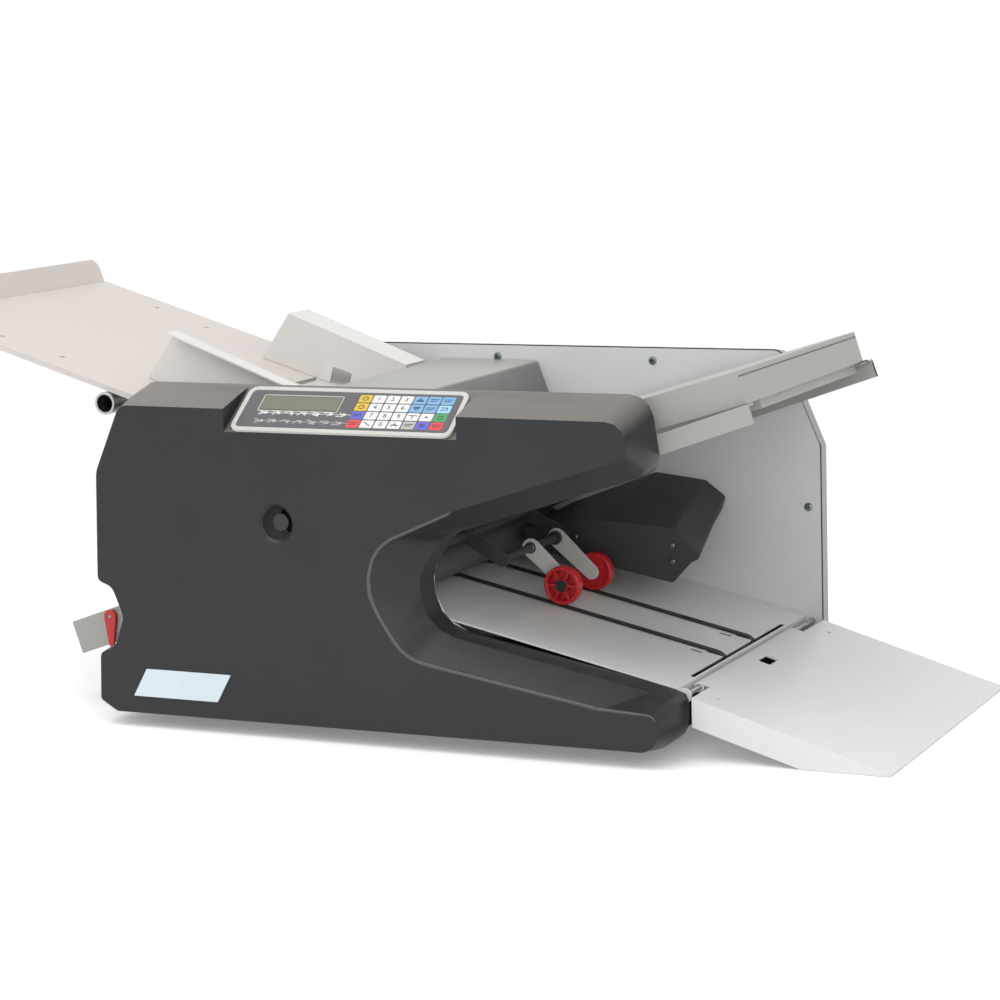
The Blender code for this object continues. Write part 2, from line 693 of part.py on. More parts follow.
def step_from(place, angle, distance):
    return place[0] + distance * math.cos(angle), place[1] + distance * math.sin(angle)


def belt_axis_depth():
    """How far the conveyor's axes lie under the bed's top face."""
    return PULLEY_RADIUS


def conveyor_place():
    """Axis of the belt drive roller: under the bed, a fixed way from the fourth roller."""
    fourth = roller_places()[3]
    dx = fourth[0] - BED_LEFT_X
    dz = fourth[1] - BED_LEFT_Z
    along = dx * math.cos(BED_SLOPE) - dz * math.sin(BED_SLOPE)
    above = dx * math.sin(BED_SLOPE) + dz * math.cos(BED_SLOPE)
    drop = above + belt_axis_depth()
    place = along - math.sqrt(max(CONVEYOR_REACH ** 2 - drop ** 2, 0.0))
    return slope_point((BED_LEFT_X, BED_LEFT_Z), BED_SLOPE, place, -belt_axis_depth())


def idler_place():
    place = BED_LENGTH - IDLER_PLACE
    return slope_point((BED_LEFT_X, BED_LEFT_Z), BED_SLOPE, place, -belt_axis_depth())


def shaft_holes():
    """Outlines of the holes that both frame plates have."""
    holes = []
    for x, z in shaft_places():
        holes.append(circle(x, z, SHAFT_RADIUS + PIN_CLEARANCE, 12))
    for x, z, radius in ((*conveyor_place(), CONVEYOR_SHAFT_RADIUS),
                         (*idler_place(), CONVEYOR_SHAFT_RADIUS),
                         (ARM_BAR_X, ARM_BAR_HEIGHT, ARM_SHAFT_RADIUS)):
        holes.append(circle(x, z, radius + PIN_CLEARANCE, 12))
    return holes


def add_hinge_lug(frame, machine, near, far):
    """Round lug on a frame plate with the hole for the exit tray's hinge rod."""
    place = (TRAY_HINGE_X, 0.0, TRAY_HINGE_Z)
    add(frame, "hinge_lug", turned([(near, HINGE_LUG_RADIUS), (far, HINGE_LUG_RADIUS)], 16), machine, place)
    radius = TRAY_HINGE_RADIUS + PIN_CLEARANCE
    cut(frame, turned([(near - OVERRUN, radius), (far + OVERRUN, radius)], 12), machine, place)


def build_near_frame(machine):
    rim = from_shares(COVER_RIM_SHARES, COVER_LEFT, 0.0, COVER_LENGTH, COVER_HEIGHT)
    outline = rounded(inset_corners(rim, FRAME_INSET), 2)
    body = extrude_holed(outline, shaft_holes(), NEAR_FRAME_Y, BAY_NEAR)
    frame = piece("near_frame", body, WHITE_PAINT, machine)
    add_rails(frame, machine, 1)
    add_hinge_lug(frame, machine, NEAR_FRAME_Y, BAY_NEAR)


def far_outline(inset, steps=CORNER_STEPS):
    """Outline of the far panel: one corner cut off over the exit, the others round."""
    left = COVER_LEFT + FRAME_INSET + inset
    right = FAR_PANEL_RIGHT - inset
    bottom = FRAME_BOTTOM + inset
    top = COVER_HEIGHT - inset
    radius = FAR_CORNER_RADIUS
    corners = [(left, bottom, radius), (right, bottom, radius),
               (right, top - FAR_CHAMFER_HEIGHT, radius),
               (right - FAR_CHAMFER_LENGTH, top, radius), (left, top, radius)]
    return rounded(corners, steps)


def build_far_frame(machine):
    body = extrude_holed(far_outline(0.0), shaft_holes(), BAY_FAR, FAR_FRAME_BACK)
    frame = piece("far_frame", body, WHITE_PAINT, machine)
    add_rails(frame, machine, -1)
    add_hinge_lug(frame, machine, BAY_FAR, FAR_FRAME_BACK)
    length = FAR_PANEL_RIGHT - COVER_LEFT
    for index, (x_share, z_share) in enumerate(RIVET_SHARES):
        head = turned([(-RIVET_HEIGHT, RIVET_RADIUS / 2), (0.0, RIVET_RADIUS), (GAP, RIVET_RADIUS)], 12)
        place = (COVER_LEFT + x_share * length, BAY_FAR, z_share * COVER_HEIGHT)
        add(frame, "rivet_" + str(index), head, machine, place)


def build_far_cover(machine):
    edge = FAR_COVER_STEP
    slope = SHELL_WALL
    outer = [far_outline(edge), far_outline(edge), far_outline(edge + slope)]
    body = loft(outer, [FAR_COVER_Y, MACHINE_BACK - slope, MACHINE_BACK])
    cover = piece("far_cover", body, GREY_PAINT, machine, is_round=True)
    inner = far_outline(edge + SHELL_WALL)
    cut(cover, extrude(inner, FAR_COVER_Y - OVERRUN, MACHINE_BACK - SHELL_WALL), machine)
    inlet = rectangle(-INLET_LENGTH / 2 - GAP, -INLET_RISE / 2 - GAP,
                      INLET_LENGTH / 2 + GAP, INLET_RISE / 2 + GAP)
    through = MACHINE_BACK - SHELL_WALL - OVERRUN
    cut(cover, extrude(inlet, through, MACHINE_BACK + OVERRUN), machine, (INLET_X, 0.0, INLET_HEIGHT))
    switch = rectangle(-SWITCH_LENGTH / 2 - GAP, -SWITCH_RISE / 2 - GAP,
                       SWITCH_LENGTH / 2 + GAP, SWITCH_RISE / 2 + GAP)
    cut(cover, extrude(switch, through, MACHINE_BACK + OVERRUN), machine, (SWITCH_X, 0.0, INLET_HEIGHT))
    return cover


# Keypad

def pocket_size():
    return BEZEL_LENGTH - 2 * BEZEL_RIM, BEZEL_WIDTH - 2 * BEZEL_RIM


def display_place():
    length, width = pocket_size()
    x = -length / 2 + DISPLAY_MARGIN + DISPLAY_LENGTH / 2
    y = width / 2 - DISPLAY_MARGIN / 2 - DISPLAY_WIDTH / 2
    return x, y


def centred(length, width, radius=0.0):
    return rectangle(-length / 2, -width / 2, length / 2, width / 2, radius)


def build_keypad(facet):
    length, width = pocket_size()
    floor = GAP + BEZEL_THICKNESS - BEZEL_POCKET_DEPTH
    outline = centred(BEZEL_LENGTH, BEZEL_WIDTH, BEZEL_CORNER_RADIUS)
    bezel = piece("keypad_bezel", upright(outline, GAP, GAP + BEZEL_THICKNESS), OFF_WHITE, facet)
    pocket = centred(length, width, BEZEL_CORNER_RADIUS - BEZEL_RIM)
    cut(bezel, upright(pocket, floor, GAP + BEZEL_THICKNESS + OVERRUN), facet)
    sheet = centred(length - 2 * GAP, width - 2 * GAP, BEZEL_CORNER_RADIUS - BEZEL_RIM)
    overlay_floor = floor + GAP
    overlay_body = upright(sheet, overlay_floor, overlay_floor + OVERLAY_THICKNESS)
    overlay = piece("keypad_overlay", overlay_body, KEY_GREY, facet)
    x, y = display_place()
    opening = centred(DISPLAY_LENGTH + 2 * GAP, DISPLAY_WIDTH + 2 * GAP)
    top = overlay_floor + OVERLAY_THICKNESS + OVERRUN
    cut(overlay, upright(opening, overlay_floor - OVERRUN, top), facet, (x, y, 0.0))
    pane = centred(DISPLAY_LENGTH, DISPLAY_WIDTH)
    window = upright(pane, overlay_floor, overlay_floor + DISPLAY_THICKNESS)
    piece("display_window", window, LCD_GREEN, facet, (x, y, 0.0))


def build_control_board(facet):
    """Circuit board under the keypad's facet, held off it by four posts."""
    under = -SHELL_WALL - GAP
    board_top = under - BOARD_POST_LENGTH
    body = upright(centred(BOARD_LENGTH, BOARD_WIDTH), board_top - BOARD_THICKNESS, board_top)
    board = piece("control_board", body, BOARD_GREEN, facet)
    for x_side in (-1, 1):
        for y_side in (-1, 1):
            x = x_side * (BOARD_LENGTH / 2 - BOARD_POST_INSET)
            y = y_side * (BOARD_WIDTH / 2 - BOARD_POST_INSET)
            post = upright(circle(x, y, BOARD_POST_RADIUS, 8), board_top - BOARD_THICKNESS / 2, under)
            add(board, "board_post", post, facet)


def build_name_plate(machine):
    left = NAME_PLATE_LEFT
    right = left + NAME_PLATE_LENGTH
    top = NAME_PLATE_BOTTOM + NAME_PLATE_HEIGHT
    outline = plain((left, NAME_PLATE_BOTTOM), (right - NAME_PLATE_LEAN, NAME_PLATE_BOTTOM),
                    (right, top), (left + NAME_PLATE_LEAN, top))
    piece("name_plate", extrude(outline, -GAP - NAME_PLATE_THICKNESS, -GAP), OFF_WHITE, machine)


# Base

def build_base(machine):
    pan = block(PAN_LEFT, BAY_NEAR + GAP, FRAME_BOTTOM, PAN_RIGHT, BAY_FAR - GAP, PAN_TOP)
    piece("base_pan", pan, GREY_PAINT, machine)
    for x_name, x in (("left", PAN_LEFT + FOOT_INSET), ("right", PAN_RIGHT - FOOT_INSET)):
        for y_name, y in (("near", BAY_NEAR + FOOT_INSET), ("far", BAY_FAR - FOOT_INSET)):
            foot = upright(circle(x, y, FOOT_RADIUS, 14), -FOOT_DROP, FRAME_BOTTOM - GAP)
            piece("foot_" + y_name + "_" + x_name, foot, BLACK_RUBBER, machine)


# Gears

def gear_outline(phase):
    """Straight-flanked teeth round a pitch circle, one tooth pointing at the phase angle."""
    radius = ROLLER_PITCH / 2
    pitch = math.tau / GEAR_TEETH
    tip = radius * (1.0 + TOOTH_TIP_HEIGHT_SHARE * pitch)
    root = radius * (1.0 - TOOTH_ROOT_DEPTH_SHARE * pitch)
    outline = []
    for tooth in range(GEAR_TEETH):
        middle = phase + tooth * pitch
        outline += [polar(root, middle - TOOTH_ROOT_SHARE * pitch),
                    polar(tip, middle - TOOTH_TIP_SHARE * pitch),
                    polar(tip, middle + TOOTH_TIP_SHARE * pitch),
                    polar(root, middle + TOOTH_ROOT_SHARE * pitch)]
    return outline


def polar(radius, angle):
    return Vector((radius * math.cos(angle), radius * math.sin(angle)))


def meshing_phase(place, phase, other_place):
    """Phase of a gear that meshes with one already placed, tooth against gap."""
    angle = math.atan2(other_place[1] - place[1], other_place[0] - place[0])
    pitch = math.tau / GEAR_TEETH
    return angle + math.pi + pitch / 2 - (phase - angle)


def gear_body(phase):
    return extrude(gear_outline(phase), GEAR_NEAR, GEAR_FAR)


# Fold rollers

def roller_span():
    return BAY_NEAR + ROLLER_END_GAP, BAY_FAR - ROLLER_END_GAP


def build_fold_rollers(machine):
    """Four rollers in a stack, each a rubber sleeve on a steel shaft with its gear."""
    near, far = roller_span()
    places = roller_places()
    pulley_radii = (ROLLER_PULLEY_RADIUS, 0.0, 0.0, CONVEYOR_DRIVER_RADIUS)
    phase = math.pi / 2
    for index, (x, z) in enumerate(places):
        name = "abcd"[index]
        place = (x, 0.0, z)
        radius = (ROLLER_PITCH - ROLLER_NIP) / 2
        sleeve = turned([(near, radius), (far, radius)], 20, SHAFT_RADIUS + ROLLER_BORE_CLEARANCE)
        piece("fold_roller_" + name, sleeve, GREY_RUBBER, machine, place, is_round=True)
        if index:
            phase = meshing_phase(places[index - 1], phase, (x, z))
        start = GEAR_NEAR - GEAR_FRAME_GAP / 2
        if pulley_radii[index] > 0:
            start = NEAR_PULLEY_NEAR - TRAVEL_MARGIN
        body = turned([(start, SHAFT_RADIUS), (FAR_FRAME_BACK, SHAFT_RADIUS)], 12)
        shaft = piece("geared_shaft_" + name, body, STEEL, machine, place)
        add(shaft, "shaft_gear_" + name, gear_body(phase), machine, place)
        if pulley_radii[index] > 0:
            wheel = pulley_body(pulley_radii[index], NEAR_PULLEY_NEAR, NEAR_PULLEY_FAR)
            add(shaft, "shaft_pulley_" + name, wheel, machine, place)


# Feeding

def build_feed(machine):
    place = (FEED_X, 0.0, FEED_HEIGHT)
    near = BAY_MIDDLE - FEED_ROLLER_LENGTH / 2
    far = BAY_MIDDLE + FEED_ROLLER_LENGTH / 2
    sleeve = turned([(near, FEED_ROLLER_RADIUS), (far, FEED_ROLLER_RADIUS)], 22,
                    SHAFT_RADIUS + ROLLER_BORE_CLEARANCE)
    piece("feed_roller", sleeve, BLACK_RUBBER, machine, place, is_round=True)
    jack = (FEED_X, JACKSHAFT_HEIGHT)
    phase = meshing_phase(jack, math.pi / 2, (FEED_X, FEED_HEIGHT))
    start = GEAR_NEAR - GEAR_FRAME_GAP / 2
    body = turned([(start, SHAFT_RADIUS), (FAR_FRAME_BACK, SHAFT_RADIUS)], 12)
    shaft = piece("geared_feed_shaft", body, STEEL, machine, place)
    add(shaft, "feed_shaft_gear", gear_body(phase), machine, place)


def build_retard(machine):
    """Block over the feed roller that holds back all but the lowest sheet, on its bar."""
    near = BAY_MIDDLE - RETARD_WIDTH / 2
    far = BAY_MIDDLE + RETARD_WIDTH / 2
    left = FEED_X - RETARD_LENGTH / 2
    right = FEED_X + RETARD_LENGTH / 2
    bottom = FEED_HEIGHT + FEED_ROLLER_RADIUS + RETARD_NIP
    bar = turned([(BAY_NEAR + GAP, CARRIER_RADIUS), (BAY_FAR - GAP, CARRIER_RADIUS)], 12)
    place = (FEED_X, 0.0, bottom + RETARD_HEIGHT / 2)
    carrier = piece("retard_carrier", bar, STEEL, machine, place)
    add(carrier, "retard_block", block(left, near, bottom, right, far, bottom + RETARD_HEIGHT), machine)


def build_rods(machine):
    """Hinge rods of the top cover and the exit tray, fixed in the frame plates."""
    between = (BAY_NEAR + GAP, BAY_FAR - GAP)
    through = (NEAR_FRAME_Y, FAR_FRAME_BACK)
    cover = cover_pivot()
    rods = (("cover_hinge_rod", cover[0], cover[1], COVER_HINGE_RADIUS, between),
            ("tray_hinge_rod", TRAY_HINGE_X, TRAY_HINGE_Z, TRAY_HINGE_RADIUS, through))
    for name, x, z, radius, (near, far) in rods:
        piece(name, turned([(near, radius), (far, radius)], 12), STEEL, machine, (x, 0.0, z))


# Drive train

def belt_loop(first, first_radius, second, second_radius, steps):
    """Outline of a belt that runs round two pulleys, from tangent arcs."""
    start = Vector(first)
    span = Vector(second) - start
    angle = math.atan2(span.y, span.x)
    lean = math.acos((first_radius - second_radius) / span.length)
    outline = []
    for step in range(steps + 1):
        turn = angle + lean + (math.tau - 2 * lean) * step / steps
        outline.append(start + polar(first_radius, turn))
    for step in range(steps + 1):
        turn = angle - lean + 2 * lean * step / steps
        outline.append(Vector(second) + polar(second_radius, turn))
    return outline


def belt_inside(radius):
    """Radius of the belt's corner points, so that its flats clear the round pulley."""
    widest_step = WIDEST_ARC_SHARE * math.tau / BELT_ARC_STEPS
    return (radius + GAP) / math.cos(widest_step / 2)


def belt(first, first_radius, second, second_radius, thickness, near, far):
    first_inside = belt_inside(first_radius)
    second_inside = belt_inside(second_radius)
    inner = belt_loop(first, first_inside, second, second_inside, BELT_ARC_STEPS)
    outer = belt_loop(first, first_inside + thickness, second, second_inside + thickness, BELT_ARC_STEPS)
    return extrude_ring(outer, inner, near, far)


def pulley_body(radius, near, far):
    return turned([(near, radius), (far, radius)], 18)


def build_drive(machine):
    jack = (FEED_X, JACKSHAFT_HEIGHT)
    motor = (MOTOR_X, MOTOR_HEIGHT)
    first = roller_places()[0]
    shoulder = NEAR_PULLEY_NEAR - OVERRUN
    steps = [(JACKSHAFT_END_DEPTH, HAND_END_RADIUS), (shoulder, HAND_END_RADIUS),
             (shoulder, SHAFT_RADIUS), (FAR_FRAME_BACK, SHAFT_RADIUS)]
    place = (jack[0], 0.0, jack[1])
    near_span = (NEAR_PULLEY_NEAR, NEAR_PULLEY_FAR)
    far_span = (FAR_PULLEY_NEAR, FAR_PULLEY_FAR)
    shaft = piece("jackshaft", turned(steps, 12), STEEL, machine, place)
    add(shaft, "jackshaft_near_pulley", pulley_body(ROLLER_PULLEY_RADIUS, *near_span), machine, place)
    add(shaft, "jackshaft_far_pulley", pulley_body(JACKSHAFT_PULLEY_RADIUS, *far_span), machine, place)
    add(shaft, "jackshaft_gear", gear_body(math.pi / 2), machine, place)
    body = belt(jack, ROLLER_PULLEY_RADIUS, first, ROLLER_PULLEY_RADIUS, DRIVE_BELT_THICKNESS, *near_span)
    piece("roller_belt", body, BLACK_RUBBER, machine)
    body = belt(jack, JACKSHAFT_PULLEY_RADIUS, motor, MOTOR_PULLEY_RADIUS, DRIVE_BELT_THICKNESS, *far_span)
    piece("drive_belt", body, BLACK_RUBBER, machine)
    body = belt(roller_places()[3], CONVEYOR_DRIVER_RADIUS, conveyor_place(), CONVEYOR_PULLEY_RADIUS,
                DRIVE_BELT_THICKNESS, *near_span)
    piece("conveyor_belt", body, BLACK_RUBBER, machine)


def build_motor(machine):
    """Motor on a bracket that stands off the far frame plate on four posts."""
    bracket_far = FAR_PULLEY_NEAR - PULLEY_FRAME_GAP
    bracket_near = bracket_far - FRAME_SHEET
    front = bracket_near - GAP
    place = (MOTOR_X, 0.0, MOTOR_HEIGHT)
    body = turned([(front - MOTOR_LENGTH, MOTOR_RADIUS), (front, MOTOR_RADIUS)], 20)
    piece("motor", body, STEEL, machine, place, is_round=True)
    steps = [(front + GAP, MOTOR_SHAFT_RADIUS), (FAR_PULLEY_NEAR, MOTOR_SHAFT_RADIUS),
             (FAR_PULLEY_NEAR, MOTOR_PULLEY_RADIUS), (FAR_PULLEY_FAR, MOTOR_PULLEY_RADIUS)]
    piece("motor_pulley", turned(steps, 18), STEEL, machine, place, is_round=True)
    hole = circle(0.0, 0.0, MOTOR_SHAFT_RADIUS + PIN_CLEARANCE, 12)
    plate = extrude_holed(centred(BRACKET_LENGTH, BRACKET_HEIGHT), [hole], bracket_near, bracket_far)
    bracket = piece("motor_bracket", plate, GREY_PAINT, machine, place)
    for x_side in (-1, 1):
        for z_side in (-1, 1):
            post = turned([(bracket_near + FRAME_SHEET / 2, POST_RADIUS), (BAY_FAR - GAP, POST_RADIUS)], 8)
            x = x_side * (BRACKET_LENGTH / 2 - POST_INSET)
            z = z_side * (BRACKET_HEIGHT / 2 - POST_INSET)
            add(bracket, "bracket_post", shifted(post, x, 0.0, z), machine, place)


# Power supply, inlet and switch

def build_power(machine):
    left = SUPPLY_X - SUPPLY_LENGTH / 2
    near = SUPPLY_Y - SUPPLY_WIDTH / 2
    bottom = PAN_TOP + GAP
    body = block(left, near, bottom, left + SUPPLY_LENGTH, near + SUPPLY_WIDTH, bottom + SUPPLY_HEIGHT)
    piece("power_supply", body, STEEL, machine)
    build_inlet(machine)
    build_rocker(machine)


def pocketed(length, rise, wall, depth, pocket_depth, flange, flange_thickness):
    """Stepped rectangular body with a flange in front and a pocket open to the front."""
    core = centred(length, rise)
    wide = centred(length + 2 * flange, rise + 2 * flange)
    pocket = centred(length - 2 * wall, rise - 2 * wall)
    front = GAP + flange_thickness
    outlines = [core, core, wide, wide, pocket, pocket]
    return loft(outlines, [-depth, GAP, GAP, front, front, front - pocket_depth])


def build_inlet(machine):
    """Inlet for a power lead, and beside it in the same module the well of the switch."""
    place = (INLET_X, MACHINE_BACK, INLET_HEIGHT)
    body = pocketed(INLET_LENGTH, INLET_RISE, INLET_WALL, INLET_DEPTH, INLET_POCKET_DEPTH,
                    INLET_FLANGE, INLET_FLANGE_THICKNESS)
    inlet = piece("power_inlet", body, BLACK_PLASTIC, machine, place)
    floor = GAP + INLET_FLANGE_THICKNESS - INLET_POCKET_DEPTH
    offset = BLADE_THICKNESS
    for x, z in ((-BLADE_SPREAD, -offset), (0.0, offset), (BLADE_SPREAD, -offset)):
        outline = rectangle(x - BLADE_THICKNESS / 2, z - BLADE_THICKNESS,
                            x + BLADE_THICKNESS / 2, z + BLADE_THICKNESS)
        add(inlet, "inlet_blade", extrude(outline, floor - GAP, floor + BLADE_LENGTH), machine, place)
    well = pocketed(SWITCH_LENGTH, SWITCH_RISE, SWITCH_WALL, SWITCH_DEPTH, SWITCH_DEPTH - SWITCH_WALL,
                    SWITCH_WALL, INLET_FLANGE_THICKNESS)
    add(inlet, "switch_well", well, machine, (SWITCH_X, MACHINE_BACK, INLET_HEIGHT))


def build_rocker(machine):
    """Power rocker, stored with its lower end pressed in."""
    inside_length = SWITCH_LENGTH - 2 * SWITCH_WALL
    inside_rise = SWITCH_RISE - 2 * SWITCH_WALL
    half = inside_rise / 2 - TRAVEL_MARGIN
    back = -ROCKER_BACK
    side = plain((back, -half / 2), (ROCKER_PROUD, -half), (ROCKER_PROUD / 2, 0.0),
                 (ROCKER_PROUD, half), (back, half / 2))
    width = inside_length / 2 - GAP
    rocker = extrude(side, -width, width)
    rocker.transform(Matrix.Rotation(math.pi / 2, 4, "Z"))
    place = (SWITCH_X, MACHINE_BACK, INLET_HEIGHT)
    item = piece("power_rocker", rocker, BLACK_PLASTIC, machine, place)
    item.rotation_euler.x = ROCKER_TILT


# Feed table, extension and guides, in the table's own sloping frame

def build_feed_table(slope):
    """Sheet folded down and in along both sides, so that the extension slides in it."""
    near, far = TABLE_NEAR, TABLE_FAR
    top, bottom = 0.0, -TABLE_DEPTH
    section = [(near, top), (far, top), (far, bottom), (far - TABLE_LIP, bottom),
               (far - TABLE_LIP, bottom + SHEET), (far - SHEET, bottom + SHEET),
               (far - SHEET, top - SHEET), (near + SHEET, top - SHEET),
               (near + SHEET, bottom + SHEET), (near + TABLE_LIP, bottom + SHEET),
               (near + TABLE_LIP, bottom), (near, bottom)]
    bm = extrude(plain(*section), -TABLE_LENGTH, 0.0)
    bm.transform(Matrix.Rotation(math.pi / 2, 4, "Z"))
    bm.transform(Matrix.Scale(-1.0, 4, (1.0, 0.0, 0.0)))
    table = piece("feed_table", bm, CREAM_PAINT, slope)
    for shape in guide_slots() + table_holes():
        cut(table, shape, slope)
    return table


def guide_faces():
    """Y of the inner faces of the near and the far guide at rest."""
    return BAY_MIDDLE - GUIDE_SPACING / 2, BAY_MIDDLE + GUIDE_SPACING / 2


def guide_slots():
    slots = []
    near_face, far_face = guide_faces()
    spans = ((NEAR_GUIDE_END, near_face - SHEET - GUIDE_OUTWARD, near_face + GUIDE_INWARD),
             (FAR_GUIDE_END, far_face - GUIDE_INWARD, far_face + SHEET + GUIDE_OUTWARD))
    for end, low, high in spans:
        right = -end - GUIDE_TONGUE_PLACE + TRAVEL_MARGIN
        left = right - GUIDE_TONGUE_LENGTH - 2 * TRAVEL_MARGIN
        near, far = low - TRAVEL_MARGIN, high + TRAVEL_MARGIN
        slots.append(block(left, near, -SHEET - GAP / 2, right, far, OVERRUN))
    return slots


def table_holes():
    holes = []
    for along, across in TABLE_HOLE_SHARES:
        hole = upright(circle(0.0, 0.0, TABLE_HOLE_RADIUS, 10), -SHEET - GAP / 2, OVERRUN)
        x = -TABLE_LENGTH + along * TABLE_LENGTH
        y = TABLE_NEAR + across * (TABLE_FAR - TABLE_NEAR)
        holes.append(shifted(hole, x, y))
    return holes


def build_extension(slope):
    """Sheet stop that pulls out of the table's high end, with a raised round-cornered lip."""
    top = -SHEET - GAP
    bottom = top - EXTENSION_SHEET
    start = -TABLE_LENGTH - 2 * GAP
    near = TABLE_NEAR + SHEET + GAP
    far = TABLE_FAR - SHEET - GAP
    sheet = block(start - EXTENSION_SHEET, near, bottom, -TABLE_LENGTH + EXTENSION_OVERLAP, far, top)
    item = piece("table_extension", sheet, CREAM_PAINT, slope)
    middle = (near + far) / 2
    half = (far - near) / 2
    width = TABLE_FAR - TABLE_NEAR
    lip_length = math.hypot(EXTENSION_LIP_RISE, EXTENSION_LIP_LEAN)
    radius = EXTENSION_CORNER_RADIUS
    corners = [(-half, 0.0, 0.0), (half, 0.0, 0.0), (width / 2, lip_length / 2, radius / 2),
               (width / 2, lip_length, radius), (-width / 2, lip_length, radius),
               (-width / 2, lip_length / 2, radius / 2)]
    lip = extrude(rounded(corners), -EXTENSION_SHEET, 0.0)
    lip.transform(Matrix.Rotation(math.pi / 2, 4, "Z"))
    lean = math.atan2(EXTENSION_LIP_LEAN, EXTENSION_LIP_RISE)
    lip.transform(Matrix.Rotation(-lean, 4, "Y"))
    place = (start - EXTENSION_SHEET / 2, middle, bottom + EXTENSION_SHEET / 2)
    combine(item, cutter("extension_lip", lip, slope, place), "UNION")
    return item


def build_guide(name, slope, inner_face, outward, end, flange):
    """Upright side guide: a leaning plate, a flange on its top and a tongue below."""
    right = -end
    left = right - GUIDE_LENGTH
    outer_face = inner_face + outward * SHEET
    base = GAP
    low_top = GUIDE_HEIGHT - GUIDE_FRONT_DROP
    outline = plain((left - GUIDE_LEAN, base), (right, base), (right, low_top), (left, GUIDE_HEIGHT))
    plate = extrude(outline, min(inner_face, outer_face), max(inner_face, outer_face))
    item = piece(name, plate, CREAM_PAINT, slope)
    sheet = [Vector((left, GUIDE_HEIGHT - SHEET)), Vector((right, low_top - SHEET)),
             Vector((right, low_top)), Vector((left, GUIDE_HEIGHT))]
    reach = outer_face + outward * (flange - SHEET)
    inside = outer_face - outward * SHEET / 2
    top = extrude(sheet, min(inside, reach), max(inside, reach))
    combine(item, cutter(name + "_flange", top, slope), "UNION")
    tongue_right = right - GUIDE_TONGUE_PLACE
    tongue = block(tongue_right - GUIDE_TONGUE_LENGTH, min(inner_face, outer_face), -GUIDE_TONGUE_DEPTH / 2,
                   tongue_right, max(inner_face, outer_face), base + SHEET)
    combine(item, cutter(name + "_tongue", tongue, slope), "UNION")
    if outward > 0:
        notch_right = right - GUIDE_NOTCH_PLACE
        notch = block(notch_right - GUIDE_NOTCH_LENGTH, inner_face - OVERRUN, 0.0,
                      notch_right, outer_face + OVERRUN, GUIDE_NOTCH_HEIGHT)
        cut(item, notch, slope)
    return item


def build_guides(slope):
    near_face, far_face = guide_faces()
    build_guide("near_side_guide", slope, near_face, -1, NEAR_GUIDE_END, NEAR_GUIDE_FLANGE)
    build_guide("far_side_guide", slope, far_face, 1, FAR_GUIDE_END, FAR_GUIDE_FLANGE)


def build_table_tube(machine):
    """Cross tube that the feed table rests on."""
    along = (TUBE_X - TABLE_END_X) / math.cos(TABLE_SLOPE)
    underside = TABLE_END_Z - along * math.sin(TABLE_SLOPE) - TABLE_DEPTH / math.cos(TABLE_SLOPE)
    height = underside - (TUBE_RADIUS + GAP) / math.cos(TABLE_SLOPE)
    steps = [(BAY_NEAR - TUBE_REACH, TUBE_RADIUS), (BAY_FAR + TUBE_REACH, TUBE_RADIUS)]
    tube = turned(steps, 20, TUBE_BORE_RADIUS)
    piece("table_tube", tube, STEEL, machine, (TUBE_X, 0.0, height), is_round=True)


# Exit bed and its belts, in the bed's own sloping frame

def belt_axes():
    """Distances along the bed of the belt drive roller and the idler."""
    drive = conveyor_place()
    reach = math.hypot(drive[0] - BED_LEFT_X, drive[1] - BED_LEFT_Z)
    return math.sqrt(reach ** 2 - belt_axis_depth() ** 2), BED_LENGTH - IDLER_PLACE


def bed_cuts():
    """Belt slots at both ends, the long end slot, two windows and two small holes."""
    first, second = belt_axes()
    reach = PULLEY_RADIUS + BELT_THICKNESS + GAP + SLOT_MARGIN
    inner = PULLEY_RADIUS
    half = BELT_WIDTH / 2 + PULLEY_MARGIN + SLOT_MARGIN
    low = -SHEET - OVERRUN
    shapes = []
    for middle in BELT_MIDDLES:
        shapes.append(block(first - reach, middle - half, low, first + inner, middle + half, OVERRUN))
        shapes.append(block(second - inner, middle - half, low, second + reach, middle + half, OVERRUN))
        right = second - WINDOW_PLACE + WINDOW_LENGTH
        near = middle - half - SLOT_MARGIN - WINDOW_WIDTH
        shapes.append(block(right - WINDOW_LENGTH, near, low, right, near + WINDOW_WIDTH, OVERRUN))
    right = BED_LENGTH - END_SLOT_PLACE
    near = BAY_NEAR + END_SLOT_START_SHARE * BAY_WIDTH
    far = BAY_NEAR + END_SLOT_STOP_SHARE * BAY_WIDTH
    shapes.append(block(right - END_SLOT_WIDTH, near, low, right, far, OVERRUN))
    return shapes


def build_exit_bed(slope):
    near = BAY_NEAR + GAP
    far = BAY_FAR - GAP
    outline = plain((0.0, -SHEET), (BED_LENGTH - SHEET, -SHEET), (BED_LENGTH - SHEET, -BED_END_FLANGE),
                    (BED_LENGTH, -BED_END_FLANGE), (BED_LENGTH, 0.0), (0.0, 0.0))
    bed = piece("exit_bed", extrude(outline, near, far), WHITE_PAINT, slope)
    for shape in bed_cuts():
        cut(bed, shape, slope)
    return bed


